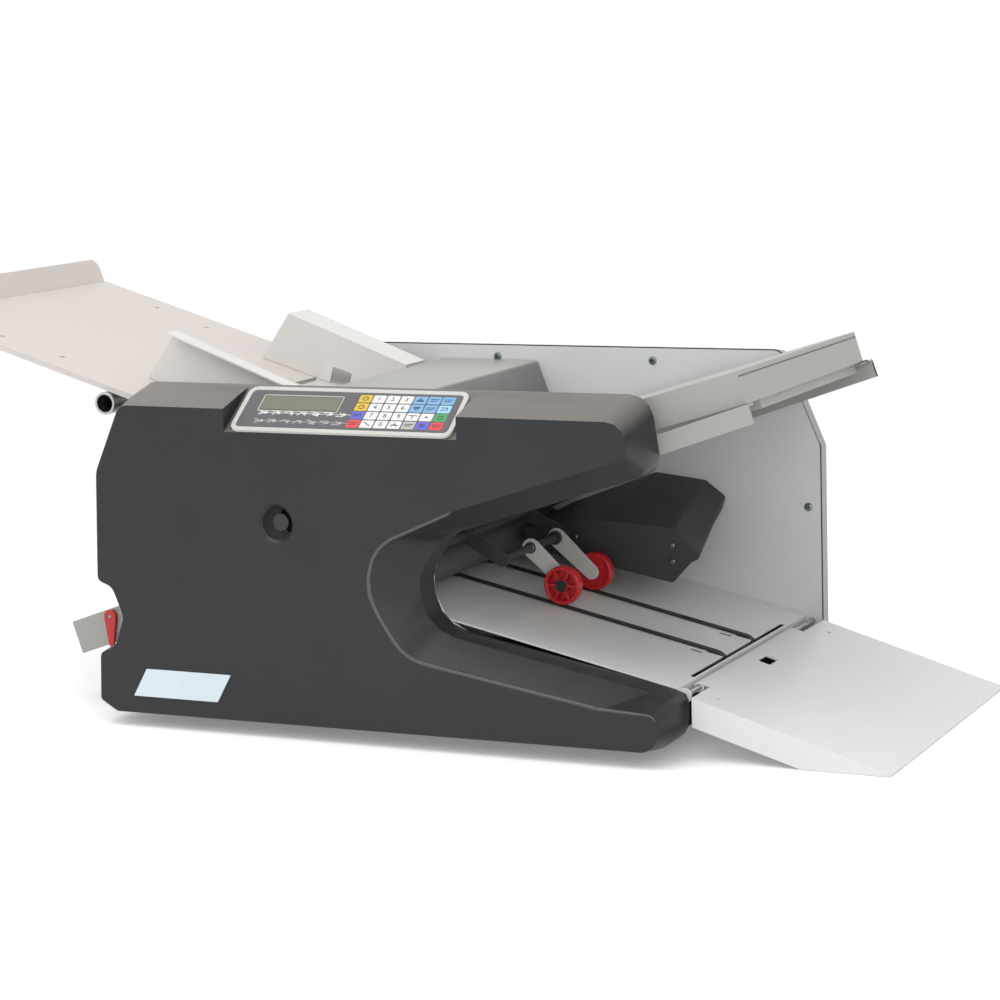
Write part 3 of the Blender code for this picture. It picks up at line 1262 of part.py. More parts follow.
def build_conveyor(machine, slope):
    first, second = belt_axes()
    depth = -belt_axis_depth()
    half = BELT_WIDTH / 2
    for name, middle in zip(("near_stacker_belt", "far_stacker_belt"), BELT_MIDDLES):
        body = belt((first, depth), PULLEY_RADIUS, (second, depth), PULLEY_RADIUS,
                    BELT_THICKNESS, middle - half, middle + half)
        piece(name, body, BLACK_RUBBER, slope)
    x, z = conveyor_place()
    place = (x, 0.0, z)
    start = NEAR_PULLEY_NEAR - TRAVEL_MARGIN
    driver = piece("belt_drive_roller", belt_roller(start), STEEL, machine, place)
    wheel = pulley_body(CONVEYOR_PULLEY_RADIUS, NEAR_PULLEY_NEAR, NEAR_PULLEY_FAR)
    add(driver, "conveyor_pulley", wheel, machine, place)
    x, z = idler_place()
    piece("belt_idler", belt_roller(NEAR_FRAME_Y), STEEL, machine, (x, 0.0, z))


def belt_roller(start):
    """Shaft with a pulley turned on it under each belt."""
    reach = BELT_WIDTH / 2 + PULLEY_MARGIN
    steps = [(start, CONVEYOR_SHAFT_RADIUS)]
    for middle in BELT_MIDDLES:
        steps += [(middle - reach, CONVEYOR_SHAFT_RADIUS), (middle - reach, PULLEY_RADIUS),
                  (middle + reach, PULLEY_RADIUS), (middle + reach, CONVEYOR_SHAFT_RADIUS)]
    steps.append((FAR_FRAME_BACK, CONVEYOR_SHAFT_RADIUS))
    return turned(steps, 16)


# Stacker wheels

def wheel_axis():
    """The wheels rest on the belts, so their height follows the bed."""
    above = belt_inside(PULLEY_RADIUS) - belt_axis_depth() + BELT_THICKNESS + GAP + WHEEL_RADIUS
    run = (WHEEL_X - BED_LEFT_X - above * math.sin(BED_SLOPE)) / math.cos(BED_SLOPE)
    return slope_point((BED_LEFT_X, BED_LEFT_Z), BED_SLOPE, run, above)


def arm_outline(first, first_radius, second, second_radius):
    return belt_loop(first, first_radius, second, second_radius, 6)


def arm_face(middle, side):
    """Y of the arm's face toward its wheel."""
    return middle + side * (WHEEL_WIDTH / 2 + GAP + TRAVEL_MARGIN)


def collar_spans():
    spans = []
    for middle, side in zip(BELT_MIDDLES, (1, -1)):
        face = arm_face(middle, side) + side * (ARM_THICKNESS + GAP)
        spans.append(sorted((face, face + side * COLLAR_WIDTH)))
    return spans


def build_stackers(machine):
    """Two red wheels, each on an arm that hangs from one cross shaft."""
    axis = wheel_axis()
    pivot = (ARM_PIVOT_X, ARM_PIVOT_HEIGHT)
    reach = (axis[0] - pivot[0], axis[1] - pivot[1])
    place = (pivot[0], 0.0, pivot[1])
    for name, middle, side in (("near", BELT_MIDDLES[0], 1), ("far", BELT_MIDDLES[1], -1)):
        build_wheel(name + "_stacker_wheel", (axis[0], middle, axis[1]), machine)
        face = arm_face(middle, side)
        near, far = sorted((face, face + side * ARM_THICKNESS))
        outline = arm_outline((0.0, 0.0), ARM_PIVOT_END_RADIUS, reach, ARM_WHEEL_END_RADIUS)
        hole = circle(0.0, 0.0, ARM_SHAFT_RADIUS + PIN_CLEARANCE, 12)
        arm = piece(name + "_arm", extrude_holed(outline, [hole], near, far), OFF_WHITE, machine, place)
        start = middle - side * (WHEEL_WIDTH / 2 + GAP)
        axle_near, axle_far = sorted((start, face + side * ARM_THICKNESS / 2))
        radius = WHEEL_BORE_RADIUS - PIN_CLEARANCE
        axle = turned([(axle_near, radius), (axle_far, radius)], 10)
        tool = cutter(name + "_axle", axle, machine, (axis[0], 0.0, axis[1]))
        combine(arm, tool, "UNION")


def build_arm_carrier(machine):
    """Cross bar from frame to frame with two links that hold the arms' pivot shaft."""
    bar = turned([(NEAR_FRAME_Y, ARM_SHAFT_RADIUS), (FAR_FRAME_BACK, ARM_SHAFT_RADIUS)], 12)
    carrier = piece("arm_carrier", bar, STEEL, machine, (ARM_BAR_X, 0.0, ARM_BAR_HEIGHT))
    place = (ARM_PIVOT_X, 0.0, ARM_PIVOT_HEIGHT)
    far_link = BELT_MIDDLES[1] + WHEEL_WIDTH / 2 + TRAVEL_MARGIN
    shaft = turned([(LINK_Y, ARM_SHAFT_RADIUS), (far_link + LINK_THICKNESS, ARM_SHAFT_RADIUS)], 12)
    add(carrier, "pivot_shaft", shaft, machine, place)
    for near, far in collar_spans():
        collar = turned([(near, COLLAR_RADIUS), (far, COLLAR_RADIUS)], 12)
        add(carrier, "shaft_collar", collar, machine, place)
    end = (ARM_BAR_X - ARM_PIVOT_X, ARM_BAR_HEIGHT - ARM_PIVOT_HEIGHT)
    outline = arm_outline((0.0, 0.0), COLLAR_RADIUS, end, LINK_END_RADIUS)
    for start in (LINK_Y, far_link):
        add(carrier, "shaft_link", extrude(outline, start, start + LINK_THICKNESS), machine, place)


def build_wheel(name, place, machine):
    """Tyre, thin web and hub as one turned wheel."""
    half = WHEEL_WIDTH / 2
    web = WHEEL_WEB / 2
    rim = WHEEL_RADIUS - WHEEL_RIM
    steps = [(-half, WHEEL_HUB_RADIUS), (-web, WHEEL_HUB_RADIUS), (-web, rim), (-half, rim),
             (-half, WHEEL_RADIUS), (half, WHEEL_RADIUS), (half, rim), (web, rim),
             (web, WHEEL_HUB_RADIUS), (half, WHEEL_HUB_RADIUS)]
    piece(name, turned(steps, 20, WHEEL_BORE_RADIUS), RED_PLASTIC, machine, place, is_round=True)


# Fold plates, in a frame that slopes up to the right

def build_fold_plate(name, slope, length, thickness, end):
    """Flat sheet-metal chute that the sheet buckles into, hollow above and below it."""
    half = thickness / 2
    left, right = (-length, 0.0) if end > 0 else (0.0, length)
    mouth, outer = (left, right) if end > 0 else (right, left)
    plate = piece(name, block(left, PLATE_NEAR, -half, right, PLATE_FAR, half), GREY_PAINT, slope)
    low, high = sorted((mouth - end * OVERRUN, outer - end * CHUTE_END))
    near = PLATE_NEAR + CHUTE_EDGE
    far = PLATE_FAR - CHUTE_EDGE
    cut(plate, block(low, near, -CHUTE_GAP / 2, high, far, CHUTE_GAP / 2), slope)
    sheet = CHUTE_GAP / 2 + PLATE_SKIN
    cut(plate, block(low, near, sheet, high, far, half - PLATE_SKIN), slope)
    spans = [(near, far)]
    if end > 0:
        step_near = PLATE_NEAR + PLATE_STEP_NEAR
        step_far = PLATE_FAR - PLATE_STEP_FAR
        step_right = outer - PLATE_STEP_SETBACK
        step = block(step_right - PLATE_STEP_LENGTH, step_near, -half - PLATE_STEP_DEPTH,
                     step_right, step_far, -half + PLATE_SKIN)
        add(plate, "plate_step", step, slope)
        spans = [(near, step_near), (step_near + PLATE_SKIN, step_far - PLATE_SKIN)]
    low, high = sorted((mouth + end * CHUTE_END, outer - end * CHUTE_END))
    deepest = -half - PLATE_STEP_DEPTH - OVERRUN
    for first, second in spans:
        cut(plate, block(low, first, deepest, high, second, -sheet), slope)
    return plate


def build_stop(name, slope, middle):
    """Bar that slides in the chute and sets how far the sheet runs in."""
    half = CHUTE_GAP / 2 - GAP
    near = PLATE_NEAR + CHUTE_EDGE + GAP
    far = PLATE_FAR - CHUTE_EDGE - GAP
    stop = block(middle - STOP_LENGTH / 2, near, -half, middle + STOP_LENGTH / 2, far, half)
    piece(name, stop, STEEL, slope)


def add_latch_pin(plate, slope):
    """Pin for the latch, one with the plate's near side."""
    start = PLATE_NEAR - 2 * GAP - LATCH_THICKNESS
    pin = turned([(start, LATCH_PIN_RADIUS), (PLATE_NEAR + SHEET, LATCH_PIN_RADIUS)], 12)
    place = (latch_place(), 0.0, latch_height())
    add(plate, "latch_pin", pin, slope, place)


def build_fold_plates(upper, lower):
    build_fold_plate("upper_fold_plate", upper, UPPER_PLATE_LENGTH, UPPER_PLATE_THICKNESS, 1)
    build_stop("upper_fold_stop", upper, UPPER_STOP_PLACE - UPPER_PLATE_LENGTH)
    plate = build_fold_plate("lower_fold_plate", lower, LOWER_PLATE_LENGTH, LOWER_PLATE_THICKNESS, -1)
    add_latch_pin(plate, lower)
    build_stop("lower_fold_stop", lower, LOWER_PLATE_LENGTH - LOWER_STOP_PLACE)


def rail_section(start, stop, side, top, height):
    """Upright web on the frame plate with a flange that carries the fold plate."""
    face = BAY_NEAR if side > 0 else BAY_FAR
    root = face - side * FRAME_SHEET / 2
    section = plain((root, top), (face + side * RAIL_FLANGE, top),
                    (face + side * RAIL_FLANGE, top - SHEET), (face + side * SHEET, top - SHEET),
                    (face + side * SHEET, top - height), (root, top - height))
    bm = extrude(section, start, stop)
    bm.transform(Matrix.Rotation(math.pi / 2, 4, "Z"))
    bm.transform(Matrix.Scale(-1.0, 4, (1.0, 0.0, 0.0)))
    return bm


def add_rails(frame, machine, side):
    """Both rails of one side; their ends are places along X, turned into the slope."""
    end_x, end_z = upper_rail_end()
    start = (UPPER_RAIL_START_X - end_x) / math.cos(UPPER_RAIL_SLOPE)
    upper = rail_section(start, 0.0, side, 0.0, UPPER_RAIL_HEIGHT)
    add(frame, "upper_rail", upper, machine, (end_x, 0.0, end_z), -UPPER_RAIL_SLOPE)
    x, z = lower_plate_origin()
    slant = math.cos(LOWER_PLATE_SLOPE)
    lower = rail_section((LOWER_RAIL_START_X - x) / slant, (LOWER_RAIL_END_X - x) / slant, side,
                         -LOWER_PLATE_THICKNESS / 2 - GAP, LOWER_RAIL_HEIGHT)
    add(frame, "lower_rail", lower, machine, (x, 0.0, z), -LOWER_PLATE_SLOPE)


def upper_plate_origin():
    """Outer end of the upper fold plate's mid-line."""
    return UPPER_PLATE_END_X, UPPER_PLATE_MIDLINE + UPPER_PLATE_END_X * math.tan(UPPER_PLATE_SLOPE)


def upper_rail_end():
    """Top of the upper rail's right end, just under the upper fold plate."""
    middle = UPPER_PLATE_MIDLINE + UPPER_RAIL_END_X * math.tan(UPPER_PLATE_SLOPE)
    drop = (UPPER_PLATE_THICKNESS / 2 + GAP) / math.cos(UPPER_PLATE_SLOPE)
    return UPPER_RAIL_END_X, middle - drop


def lower_plate_origin():
    """Outer end of the lower fold plate's mid-line."""
    x = LOWER_PLATE_START_X - LOWER_PLATE_LENGTH * math.cos(LOWER_PLATE_SLOPE)
    return x, LOWER_PLATE_MIDLINE + x * math.tan(LOWER_PLATE_SLOPE)


def latch_outline():
    tip = (0.0, -LATCH_LENGTH)
    outline = arm_outline((0.0, 0.0), LATCH_HEAD_RADIUS, tip, LATCH_TIP_RADIUS)
    return outline, circle(0.0, 0.0, LATCH_PIN_RADIUS + PIN_CLEARANCE, 12)


def build_latch(lower):
    """Red latch of the lower fold plate, which turns on a pin in the plate's near side."""
    face = PLATE_NEAR - GAP
    outline, hole = latch_outline()
    place = (latch_place(), 0.0, latch_height())
    body = extrude_holed(outline, [hole], face - LATCH_THICKNESS, face)
    piece("red_latch", body, RED_PLASTIC, lower, place, LOWER_PLATE_SLOPE)


def latch_height():
    return LOWER_PLATE_THICKNESS / 2 - LATCH_HEAD_RADIUS


def latch_place():
    return LOWER_PLATE_LENGTH + (LATCH_X - LOWER_PLATE_START_X) / math.cos(LOWER_PLATE_SLOPE)


# Drive housing over the far half of the exit mouth

def housing_outline(shares, inset):
    corners = from_shares(shares, HOUSING_LEFT, HOUSING_BOTTOM, HOUSING_LENGTH, HOUSING_HEIGHT)
    if inset > 0:
        corners = inset_corners(corners, inset)
    return rounded(corners, 2)


def build_housing(machine):
    near, far = HOUSING_NEAR_Y, BAY_FAR - GAP
    outer = [housing_outline(HOUSING_NEAR_SHARES, 0.0), housing_outline(HOUSING_FAR_SHARES, 0.0)]
    housing = piece("drive_housing", loft(outer, [near, far]), DARK_PAINT, machine, is_round=True)
    inner = [housing_outline(HOUSING_NEAR_SHARES, HOUSING_WALL),
             housing_outline(HOUSING_FAR_SHARES, HOUSING_WALL)]
    cut(housing, loft(inner, [near + HOUSING_WALL, far + OVERRUN]), machine)
    for index, (x_share, z_share) in enumerate(HOUSING_SCREW_SHARES):
        head = turned([(-HOUSING_SCREW_HEIGHT, HOUSING_SCREW_RADIUS / 2), (0.0, HOUSING_SCREW_RADIUS),
                       (HOUSING_WALL / 2, HOUSING_SCREW_RADIUS)], 10)
        place = (HOUSING_LEFT + x_share * HOUSING_LENGTH, near, HOUSING_BOTTOM + z_share * HOUSING_HEIGHT)
        add(housing, "housing_screw_" + str(index), head, machine, place)


# Top cover over the feed rollers

def cover_pivot():
    return TOP_COVER_RIGHT - COVER_HINGE_INSET, TOP_COVER_HEIGHT - COVER_HINGE_DROP


def build_top_cover(machine):
    """Sheet cover, open below, that tips up on a rod along its right edge."""
    pivot = cover_pivot()
    bottom = TOP_COVER_HEIGHT - TOP_COVER_SKIRT
    edge = TOP_COVER_EDGE
    near = BAY_NEAR + TOP_COVER_MARGIN
    far = BAY_FAR - TOP_COVER_MARGIN
    corners = [(TOP_COVER_LEFT, bottom, 0.0), (TOP_COVER_RIGHT + TOP_COVER_FLARE, bottom, 0.0),
               (TOP_COVER_RIGHT, TOP_COVER_HEIGHT, edge), (TOP_COVER_LEFT, TOP_COVER_HEIGHT, edge)]
    local = [(x - pivot[0], z - pivot[1], radius) for x, z, radius in corners]
    place = (pivot[0], 0.0, pivot[1])
    cover = piece("top_cover", extrude(rounded(local), near, far), SHELL, machine, place, is_round=True)
    inner = inset_corners(local, SHEET)
    inner[0] = (inner[0][0], local[0][1] - OVERRUN, 0.0)
    inner[1] = (inner[1][0], local[1][1] - OVERRUN, 0.0)
    cut(cover, extrude(rounded(inner), near + SHEET, far - SHEET), machine, place)
    hole = circle(0.0, 0.0, COVER_HINGE_RADIUS + PIN_CLEARANCE, 12)
    cut(cover, extrude(hole, near - OVERRUN, far + OVERRUN), machine, place)


# Exit tray

def tray_side():
    """Side of the tray in its own frame: sheet, upright left end, apron and desk line."""
    top = TRAY_BEAD_RADIUS
    apron = top - TRAY_FLANGE
    slant = math.tan(TRAY_SLOPE)
    desk = (TRAY_DESK_GAP - FOOT_DROP - TRAY_HINGE_Z) / math.cos(TRAY_SLOPE)
    reach = (apron - desk) / slant
    end_low = min(desk + TRAY_LENGTH * slant, top - SHEET)
    return plain((TRAY_SHOULDER, top), (TRAY_SHOULDER + TRAY_FLANGE * slant, apron), (reach, apron),
                 (TRAY_LENGTH, end_low), (TRAY_LENGTH, top))


def build_tray(machine):
    """Sheet tray with turned-down sides and a tongue rolled round its hinge rod."""
    place = (TRAY_HINGE_X, 0.0, TRAY_HINGE_Z)
    top = TRAY_BEAD_RADIUS
    under = top - SHEET
    body = extrude(tray_side(), TRAY_NEAR, TRAY_FAR)
    tray = piece("exit_tray", body, WHITE_PAINT, machine, place, TRAY_SLOPE)
    hollow = block(TRAY_SHOULDER - OVERRUN, TRAY_NEAR + SHEET, under - TRAY_LENGTH,
                   TRAY_LENGTH + OVERRUN, TRAY_FAR - SHEET, under)
    cut(tray, hollow, machine, place, TRAY_SLOPE)
    near = TRAY_NEAR + TRAY_BEAD_START
    far = near + TRAY_BEAD_LENGTH
    tongue = block(0.0, near, under, TRAY_SHOULDER + SHEET, far, top)
    add(tray, "tray_tongue", tongue, machine, place, TRAY_SLOPE)
    bead = extrude(circle(0.0, 0.0, TRAY_BEAD_RADIUS, 16, math.pi / 2), near, far)
    add(tray, "tray_bead", bead, machine, place, TRAY_SLOPE)
    bore = circle(0.0, 0.0, TRAY_HINGE_RADIUS + PIN_CLEARANCE, 12)
    cut(tray, extrude(bore, near - OVERRUN, far + OVERRUN), machine, place, TRAY_SLOPE)
    for shape in tray_cuts():
        cut(tray, shape, machine, place, TRAY_SLOPE)


def tray_cuts():
    """Two small holes and the louver's slot through the tray's sheet."""
    width = TRAY_FAR - TRAY_NEAR
    start = TRAY_BEAD_RADIUS + SHEET
    low = TRAY_BEAD_RADIUS - SHEET - OVERRUN
    high = TRAY_BEAD_RADIUS + OVERRUN
    shapes = []
    for along, across in TRAY_HOLE_SHARES:
        hole = upright(circle(0.0, 0.0, TRAY_HOLE_RADIUS, 10), low, high)
        shapes.append(shifted(hole, start + along * TRAY_LENGTH, TRAY_NEAR + across * width))
    x = start + LOUVER_PLACE
    y = TRAY_NEAR + LOUVER_SHARE * width
    shapes.append(block(x, y, low, x + LOUVER_LENGTH, y + LOUVER_WIDTH, high))
    return shapes


# The whole machine

def centre_over_origin(machine):
    """Move the whole machine so that the middle of its outline is over the origin."""
    bpy.context.view_layer.update()
    graph = bpy.context.evaluated_depsgraph_get()
    points = []
    for item in bpy.data.objects:
        if item.type == "MESH" and not item.hide_render:
            mesh = item.evaluated_get(graph).data
            points += [item.matrix_world @ vertex.co for vertex in mesh.vertices]
    across = [point.x for point in points]
    deep = [point.y for point in points]
    machine.location.x = -(min(across) + max(across)) / 2
    machine.location.y = -(min(deep) + max(deep)) / 2


def clear_scene():
    for item in list(bpy.data.objects):
        bpy.data.objects.remove(item, do_unlink=True)


def main():
    clear_scene()
    machine = empty("machine", (0.0, 0.0, FOOT_DROP))
    facet = facet_frame(machine)
    table_slope = empty("table_slope", (TABLE_END_X, 0.0, TABLE_END_Z), TABLE_SLOPE, machine)
    bed_slope = empty("bed_slope", (BED_LEFT_X, 0.0, BED_LEFT_Z), BED_SLOPE, machine)
    upper_x, upper_z = upper_plate_origin()
    upper = empty("upper_plate_slope", (upper_x, 0.0, upper_z), -UPPER_PLATE_SLOPE, machine)
    lower_x, lower_z = lower_plate_origin()
    lower = empty("lower_plate_slope", (lower_x, 0.0, lower_z), -LOWER_PLATE_SLOPE, machine)

    build_near_cover(machine, facet)
    build_near_frame(machine)
    build_far_frame(machine)
    build_far_cover(machine)
    build_keypad(facet)
    build_control_board(facet)
    build_name_plate(machine)
    build_base(machine)
    build_fold_rollers(machine)
    build_feed(machine)
    build_retard(machine)
    build_rods(machine)
    build_drive(machine)
    build_motor(machine)
    build_power(machine)
    build_feed_table(table_slope)
    build_extension(table_slope)
    build_guides(table_slope)
    build_table_tube(machine)
    build_exit_bed(bed_slope)
    build_conveyor(machine, bed_slope)
    build_stackers(machine)
    build_arm_carrier(machine)
    build_fold_plates(upper, lower)
    build_latch(lower)
    build_housing(machine)
    build_top_cover(machine)
    build_tray(machine)
    centre_over_origin(machine)
    bpy.context.view_layer.update()


if __name__ == "__main__":
    main()
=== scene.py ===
"""Looks of the desk-top paper folding machine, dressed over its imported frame.

Every sub-part keeps the frame's shape and place. Visible ones get rounded edges and a
finish of their own; the keypad's keys, the stacker wheels' ribs, the screws and other
small trims are built here from named sizes, in metres.
"""
import json
import math

import bmesh
import bpy
from bpy.props import FloatProperty, FloatVectorProperty, IntProperty, PointerProperty
from mathutils import Matrix, Vector

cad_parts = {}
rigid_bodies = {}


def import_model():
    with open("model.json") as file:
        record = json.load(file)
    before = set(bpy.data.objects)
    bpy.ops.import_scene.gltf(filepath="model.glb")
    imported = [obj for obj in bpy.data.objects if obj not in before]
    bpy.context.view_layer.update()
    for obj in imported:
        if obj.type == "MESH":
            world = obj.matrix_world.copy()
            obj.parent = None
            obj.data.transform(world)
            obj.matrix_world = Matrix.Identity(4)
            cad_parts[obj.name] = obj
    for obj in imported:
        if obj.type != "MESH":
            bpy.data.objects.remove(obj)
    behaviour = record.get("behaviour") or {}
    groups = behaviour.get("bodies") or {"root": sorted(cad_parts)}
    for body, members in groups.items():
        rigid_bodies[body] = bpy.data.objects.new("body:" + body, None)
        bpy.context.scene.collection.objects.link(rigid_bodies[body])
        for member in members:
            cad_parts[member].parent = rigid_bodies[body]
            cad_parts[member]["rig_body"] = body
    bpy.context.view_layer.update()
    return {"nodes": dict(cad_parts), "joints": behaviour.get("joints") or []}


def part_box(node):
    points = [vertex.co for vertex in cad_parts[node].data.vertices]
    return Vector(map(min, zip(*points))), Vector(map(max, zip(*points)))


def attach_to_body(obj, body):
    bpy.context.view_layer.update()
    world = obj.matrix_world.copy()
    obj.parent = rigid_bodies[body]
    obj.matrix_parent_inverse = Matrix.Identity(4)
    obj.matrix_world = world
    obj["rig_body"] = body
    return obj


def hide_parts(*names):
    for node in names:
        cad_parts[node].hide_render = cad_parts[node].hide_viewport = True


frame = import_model()

bl_info = {
    "name": "Paper Folding Machine Looks",
    "version": (1, 0, 0),
    "blender": (4, 5, 0),
    "location": "3D View > Sidebar > Folding Machine",
    "description": "Dresses the paper folding machine in its materials and small details",
    "category": "Object",
}

NEAR_COVER_LEFT = -0.616        # the near cover's left end from the machine's own origin
FAR_BAY = 0.4413                # the far frame plate's bay face from the near cover's face
ARM_PLATE = 0.003               # from an arm's inner side to its pivot's screw
MERGE = 0.00001                 # corners closer than this are one corner
FLAT = math.radians(0.7)        # faces that lean less than this from each other are one face
QUARTER_TURN = math.radians(90.0)
LIFT = 0.00008                  # between a printed mark and what it is printed on
RIDGE_LEFT = -0.40              # the near cover's mouth starts right of here
RIDGE_TOP = 0.262               # the fold round the mouth lies between these heights
RIDGE_BOTTOM = 0.035
RIDGE_SIDES = 16
RIDGE_TAPER = 5.0               # how fast the ridge grows from its thin ends
RIDGE_END_SHARE = 0.15          # its ends' size as a share of the whole size
RAIL_HEIGHT = 0.25              # the near rail's web right of the plate lies above this height
RAIL_LEFT = -0.03               # and right of here
SEAM_REACH = 0.07               # the seam line keeps this near to the panel's top or right end
SEAM_FRONT = 0.9                # the panel's front face looks this much toward the front
SEAM_SIDE = 0.3                 # and its edge faces less than this
SEAM_OUTWARD = 0.5              # an edge face at the top or right looks more than this up and right
RAIL_REACH = 0.0144             # the frame plates' rails stand this far into the bay
EDGE_FACE_AREA = 0.0012         # largest face along the edge of a frame plate's sheet
EDGE_LEAN = 0.6                 # an edge face looks less than this toward the front or back
FRONT_LEAN = 0.999              # a face that looks this much toward the front is the near cover's face
BAND_LEANS = (0.3, 0.99)        # the band round the mouth looks this much toward the front
WHITE = (1.0, 1.0, 1.0, 1.0)


# Places taken from the frame

def machine_origin():
    """Where the near cover's lower edge, front face and X = 0 meet, in the shared frame."""
    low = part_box("near_cover")[0]
    return Vector((low.x - NEAR_COVER_LEFT, low.y, low.z))


ORIGIN = machine_origin()


def middle(node):
    low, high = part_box(node)
    return (low + high) / 2


def body_of(node):
    return frame["nodes"][node]["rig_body"]


# Sizes and colours that a user would change

def length(name, description, default):
    return FloatProperty(name=name, description=description, default=default,
                         unit="LENGTH", precision=5)


def angle(name, description, degrees):
    return FloatProperty(name=name, description=description, default=math.radians(degrees),
                         unit="ROTATION")


def power(name, description, default):
    return FloatProperty(name=name, description=description, default=default, unit="POWER")


def place(name, description, default):
    return FloatVectorProperty(name=name, description=description, default=default,
                               subtype="TRANSLATION", unit="LENGTH")


def colour(name, description, default):
    return FloatVectorProperty(name=name, description=description, default=default,
                               subtype="COLOR", size=3, min=0.0, max=1.0)


class FoldingMachineSizes(bpy.types.PropertyGroup):
    shell_edge: length("Shell edge", "Rounding of the moulded covers' edges", 0.0065)
    sheet_edge: length("Sheet edge", "Rounding of bent sheet and plates", 0.0005)
    part_edge: length("Part edge", "Rounding of small turned and moulded parts", 0.0004)
    key_pitch: length("Key pitch", "Distance of two neighbouring key columns", 0.0154)
    key_row_pitch: length("Key row pitch", "Distance of two neighbouring key rows", 0.0120)
    key_gap: length("Key gap", "Dark gap between two keys", 0.0011)
    key_height: length("Key height", "How far a key's dome stands off the membrane", 0.00045)
    key_corner: length("Key corner", "Corner radius of a key", 0.0012)
    key_margin: length("Key margin", "From the last key to the membrane's right edge", 0.0068)
    digit_height: length("Digit height", "Height of the digits on the keys", 0.0075)
    mark_width: length("Mark width", "Stroke width of the printed marks", 0.0009)
    screw_radius: length("Screw radius", "Radius of the panel screws' heads", 0.0046)
    screw_height: length("Screw height", "Height of the panel screws' heads", 0.0018)
    wheel_rib: length("Wheel rib", "Thickness of the stacker wheels' ribs", 0.0026)
    wheel_ribs: IntProperty(name="Wheel ribs", description="Ribs between hub and rim", default=6, min=3)
    ridge_width: length("Ridge width", "Half the width of the ridge round the mouth", 0.0030)
    ridge_depth: length("Ridge depth", "Half the depth of the ridge round the mouth", 0.0022)
    # The dark seams are painted shade in the gaps between panels
    seam: length("Seam", "Width of the dark seams between panels", 0.0012)


class FoldingMachineColours(bpy.types.PropertyGroup):
    shell: colour("Shell", "Dark grey moulded near cover", (0.0215, 0.0220, 0.0240))
    # ridge is a lighter tone of the shell: painted highlight along the fold round the mouth
    ridge: colour("Ridge", "Highlighted fold round the mouth", (0.070, 0.071, 0.075))
    # shell_top and hatch_top are painted highlight: the lighter tone of the covers' tops where the light from
    # above falls
    shell_top: colour("Shell top", "Lit top of the near cover", (0.155, 0.140, 0.128))
    hatch: colour("Hatch", "Grey moulded top cover", (0.150, 0.152, 0.150))
    hatch_top: colour("Hatch top", "Lit top of the top cover", (0.320, 0.312, 0.290))
    table: colour("Table", "Cream enamel of the feed table", (0.580, 0.530, 0.500))
    guide: colour("Guide", "Pale enamel of the side guides", (0.655, 0.640, 0.615))
    panel: colour("Panel", "White enamel of the frame plates", (0.640, 0.655, 0.650))
    bed: colour("Bed", "White enamel of the exit bed and tray", (0.690, 0.695, 0.685))
    grey: colour("Grey", "Grey enamel of the fold plates", (0.345, 0.340, 0.320))
    strip: colour("Strip", "Grey of the far cover", (0.320, 0.315, 0.300))
    hood: colour("Hood", "Black enamel of the drive housing", (0.030, 0.031, 0.032))
    rubber: colour("Rubber", "Belts, feet and feed roller", (0.014, 0.016, 0.016))
    roller: colour("Roller", "Rubber of the fold rollers", (0.090, 0.090, 0.090))
    steel: colour("Steel", "Bare steel", (0.50, 0.50, 0.49))
    zinc: colour("Zinc", "Plated screws", (0.20, 0.25, 0.23))
    red: colour("Red", "Red plastic of wheels and latch", (0.52, 0.010, 0.016))
    arm: colour("Arm", "Pale plastic of the wheel arms", (0.60, 0.59, 0.56))
    bezel: colour("Bezel", "Off-white frame of the keypad", (0.50, 0.49, 0.465))
    membrane: colour("Membrane", "Dark field of the keypad", (0.085, 0.083, 0.088))
    display: colour("Display", "Grey-green display", (0.150, 0.155, 0.110))
    print_white: colour("Print white", "White print on the keypad", (0.66, 0.66, 0.65))
    print_dark: colour("Print dark", "Dark print on the keys", (0.03, 0.035, 0.045))
    key_yellow: colour("Yellow key", "Yellow keys", (0.62, 0.42, 0.02))
    key_blue: colour("Blue key", "Blue keys", (0.16, 0.36, 0.60))
    key_pale_blue: colour("Pale blue key", "Pale blue keys", (0.28, 0.55, 0.72))
    key_violet: colour("Violet key", "Blue-violet keys", (0.10, 0.10, 0.52))
    key_red: colour("Red key", "Red keys", (0.66, 0.040, 0.050))
    key_green: colour("Green key", "Green key", (0.045, 0.31, 0.09))
    key_grey: colour("Grey key", "Grey-white key", (0.40, 0.40, 0.38))
    label: colour("Label", "Bare label plate", (0.62, 0.71, 0.76))
    board: colour("Board", "Circuit board", (0.02, 0.14, 0.06))
    # dark also paints shade: in the panel seam, the screw slots and the plate's groove line
    dark: colour("Dark", "Dark seams and openings", (0.006, 0.006, 0.006))


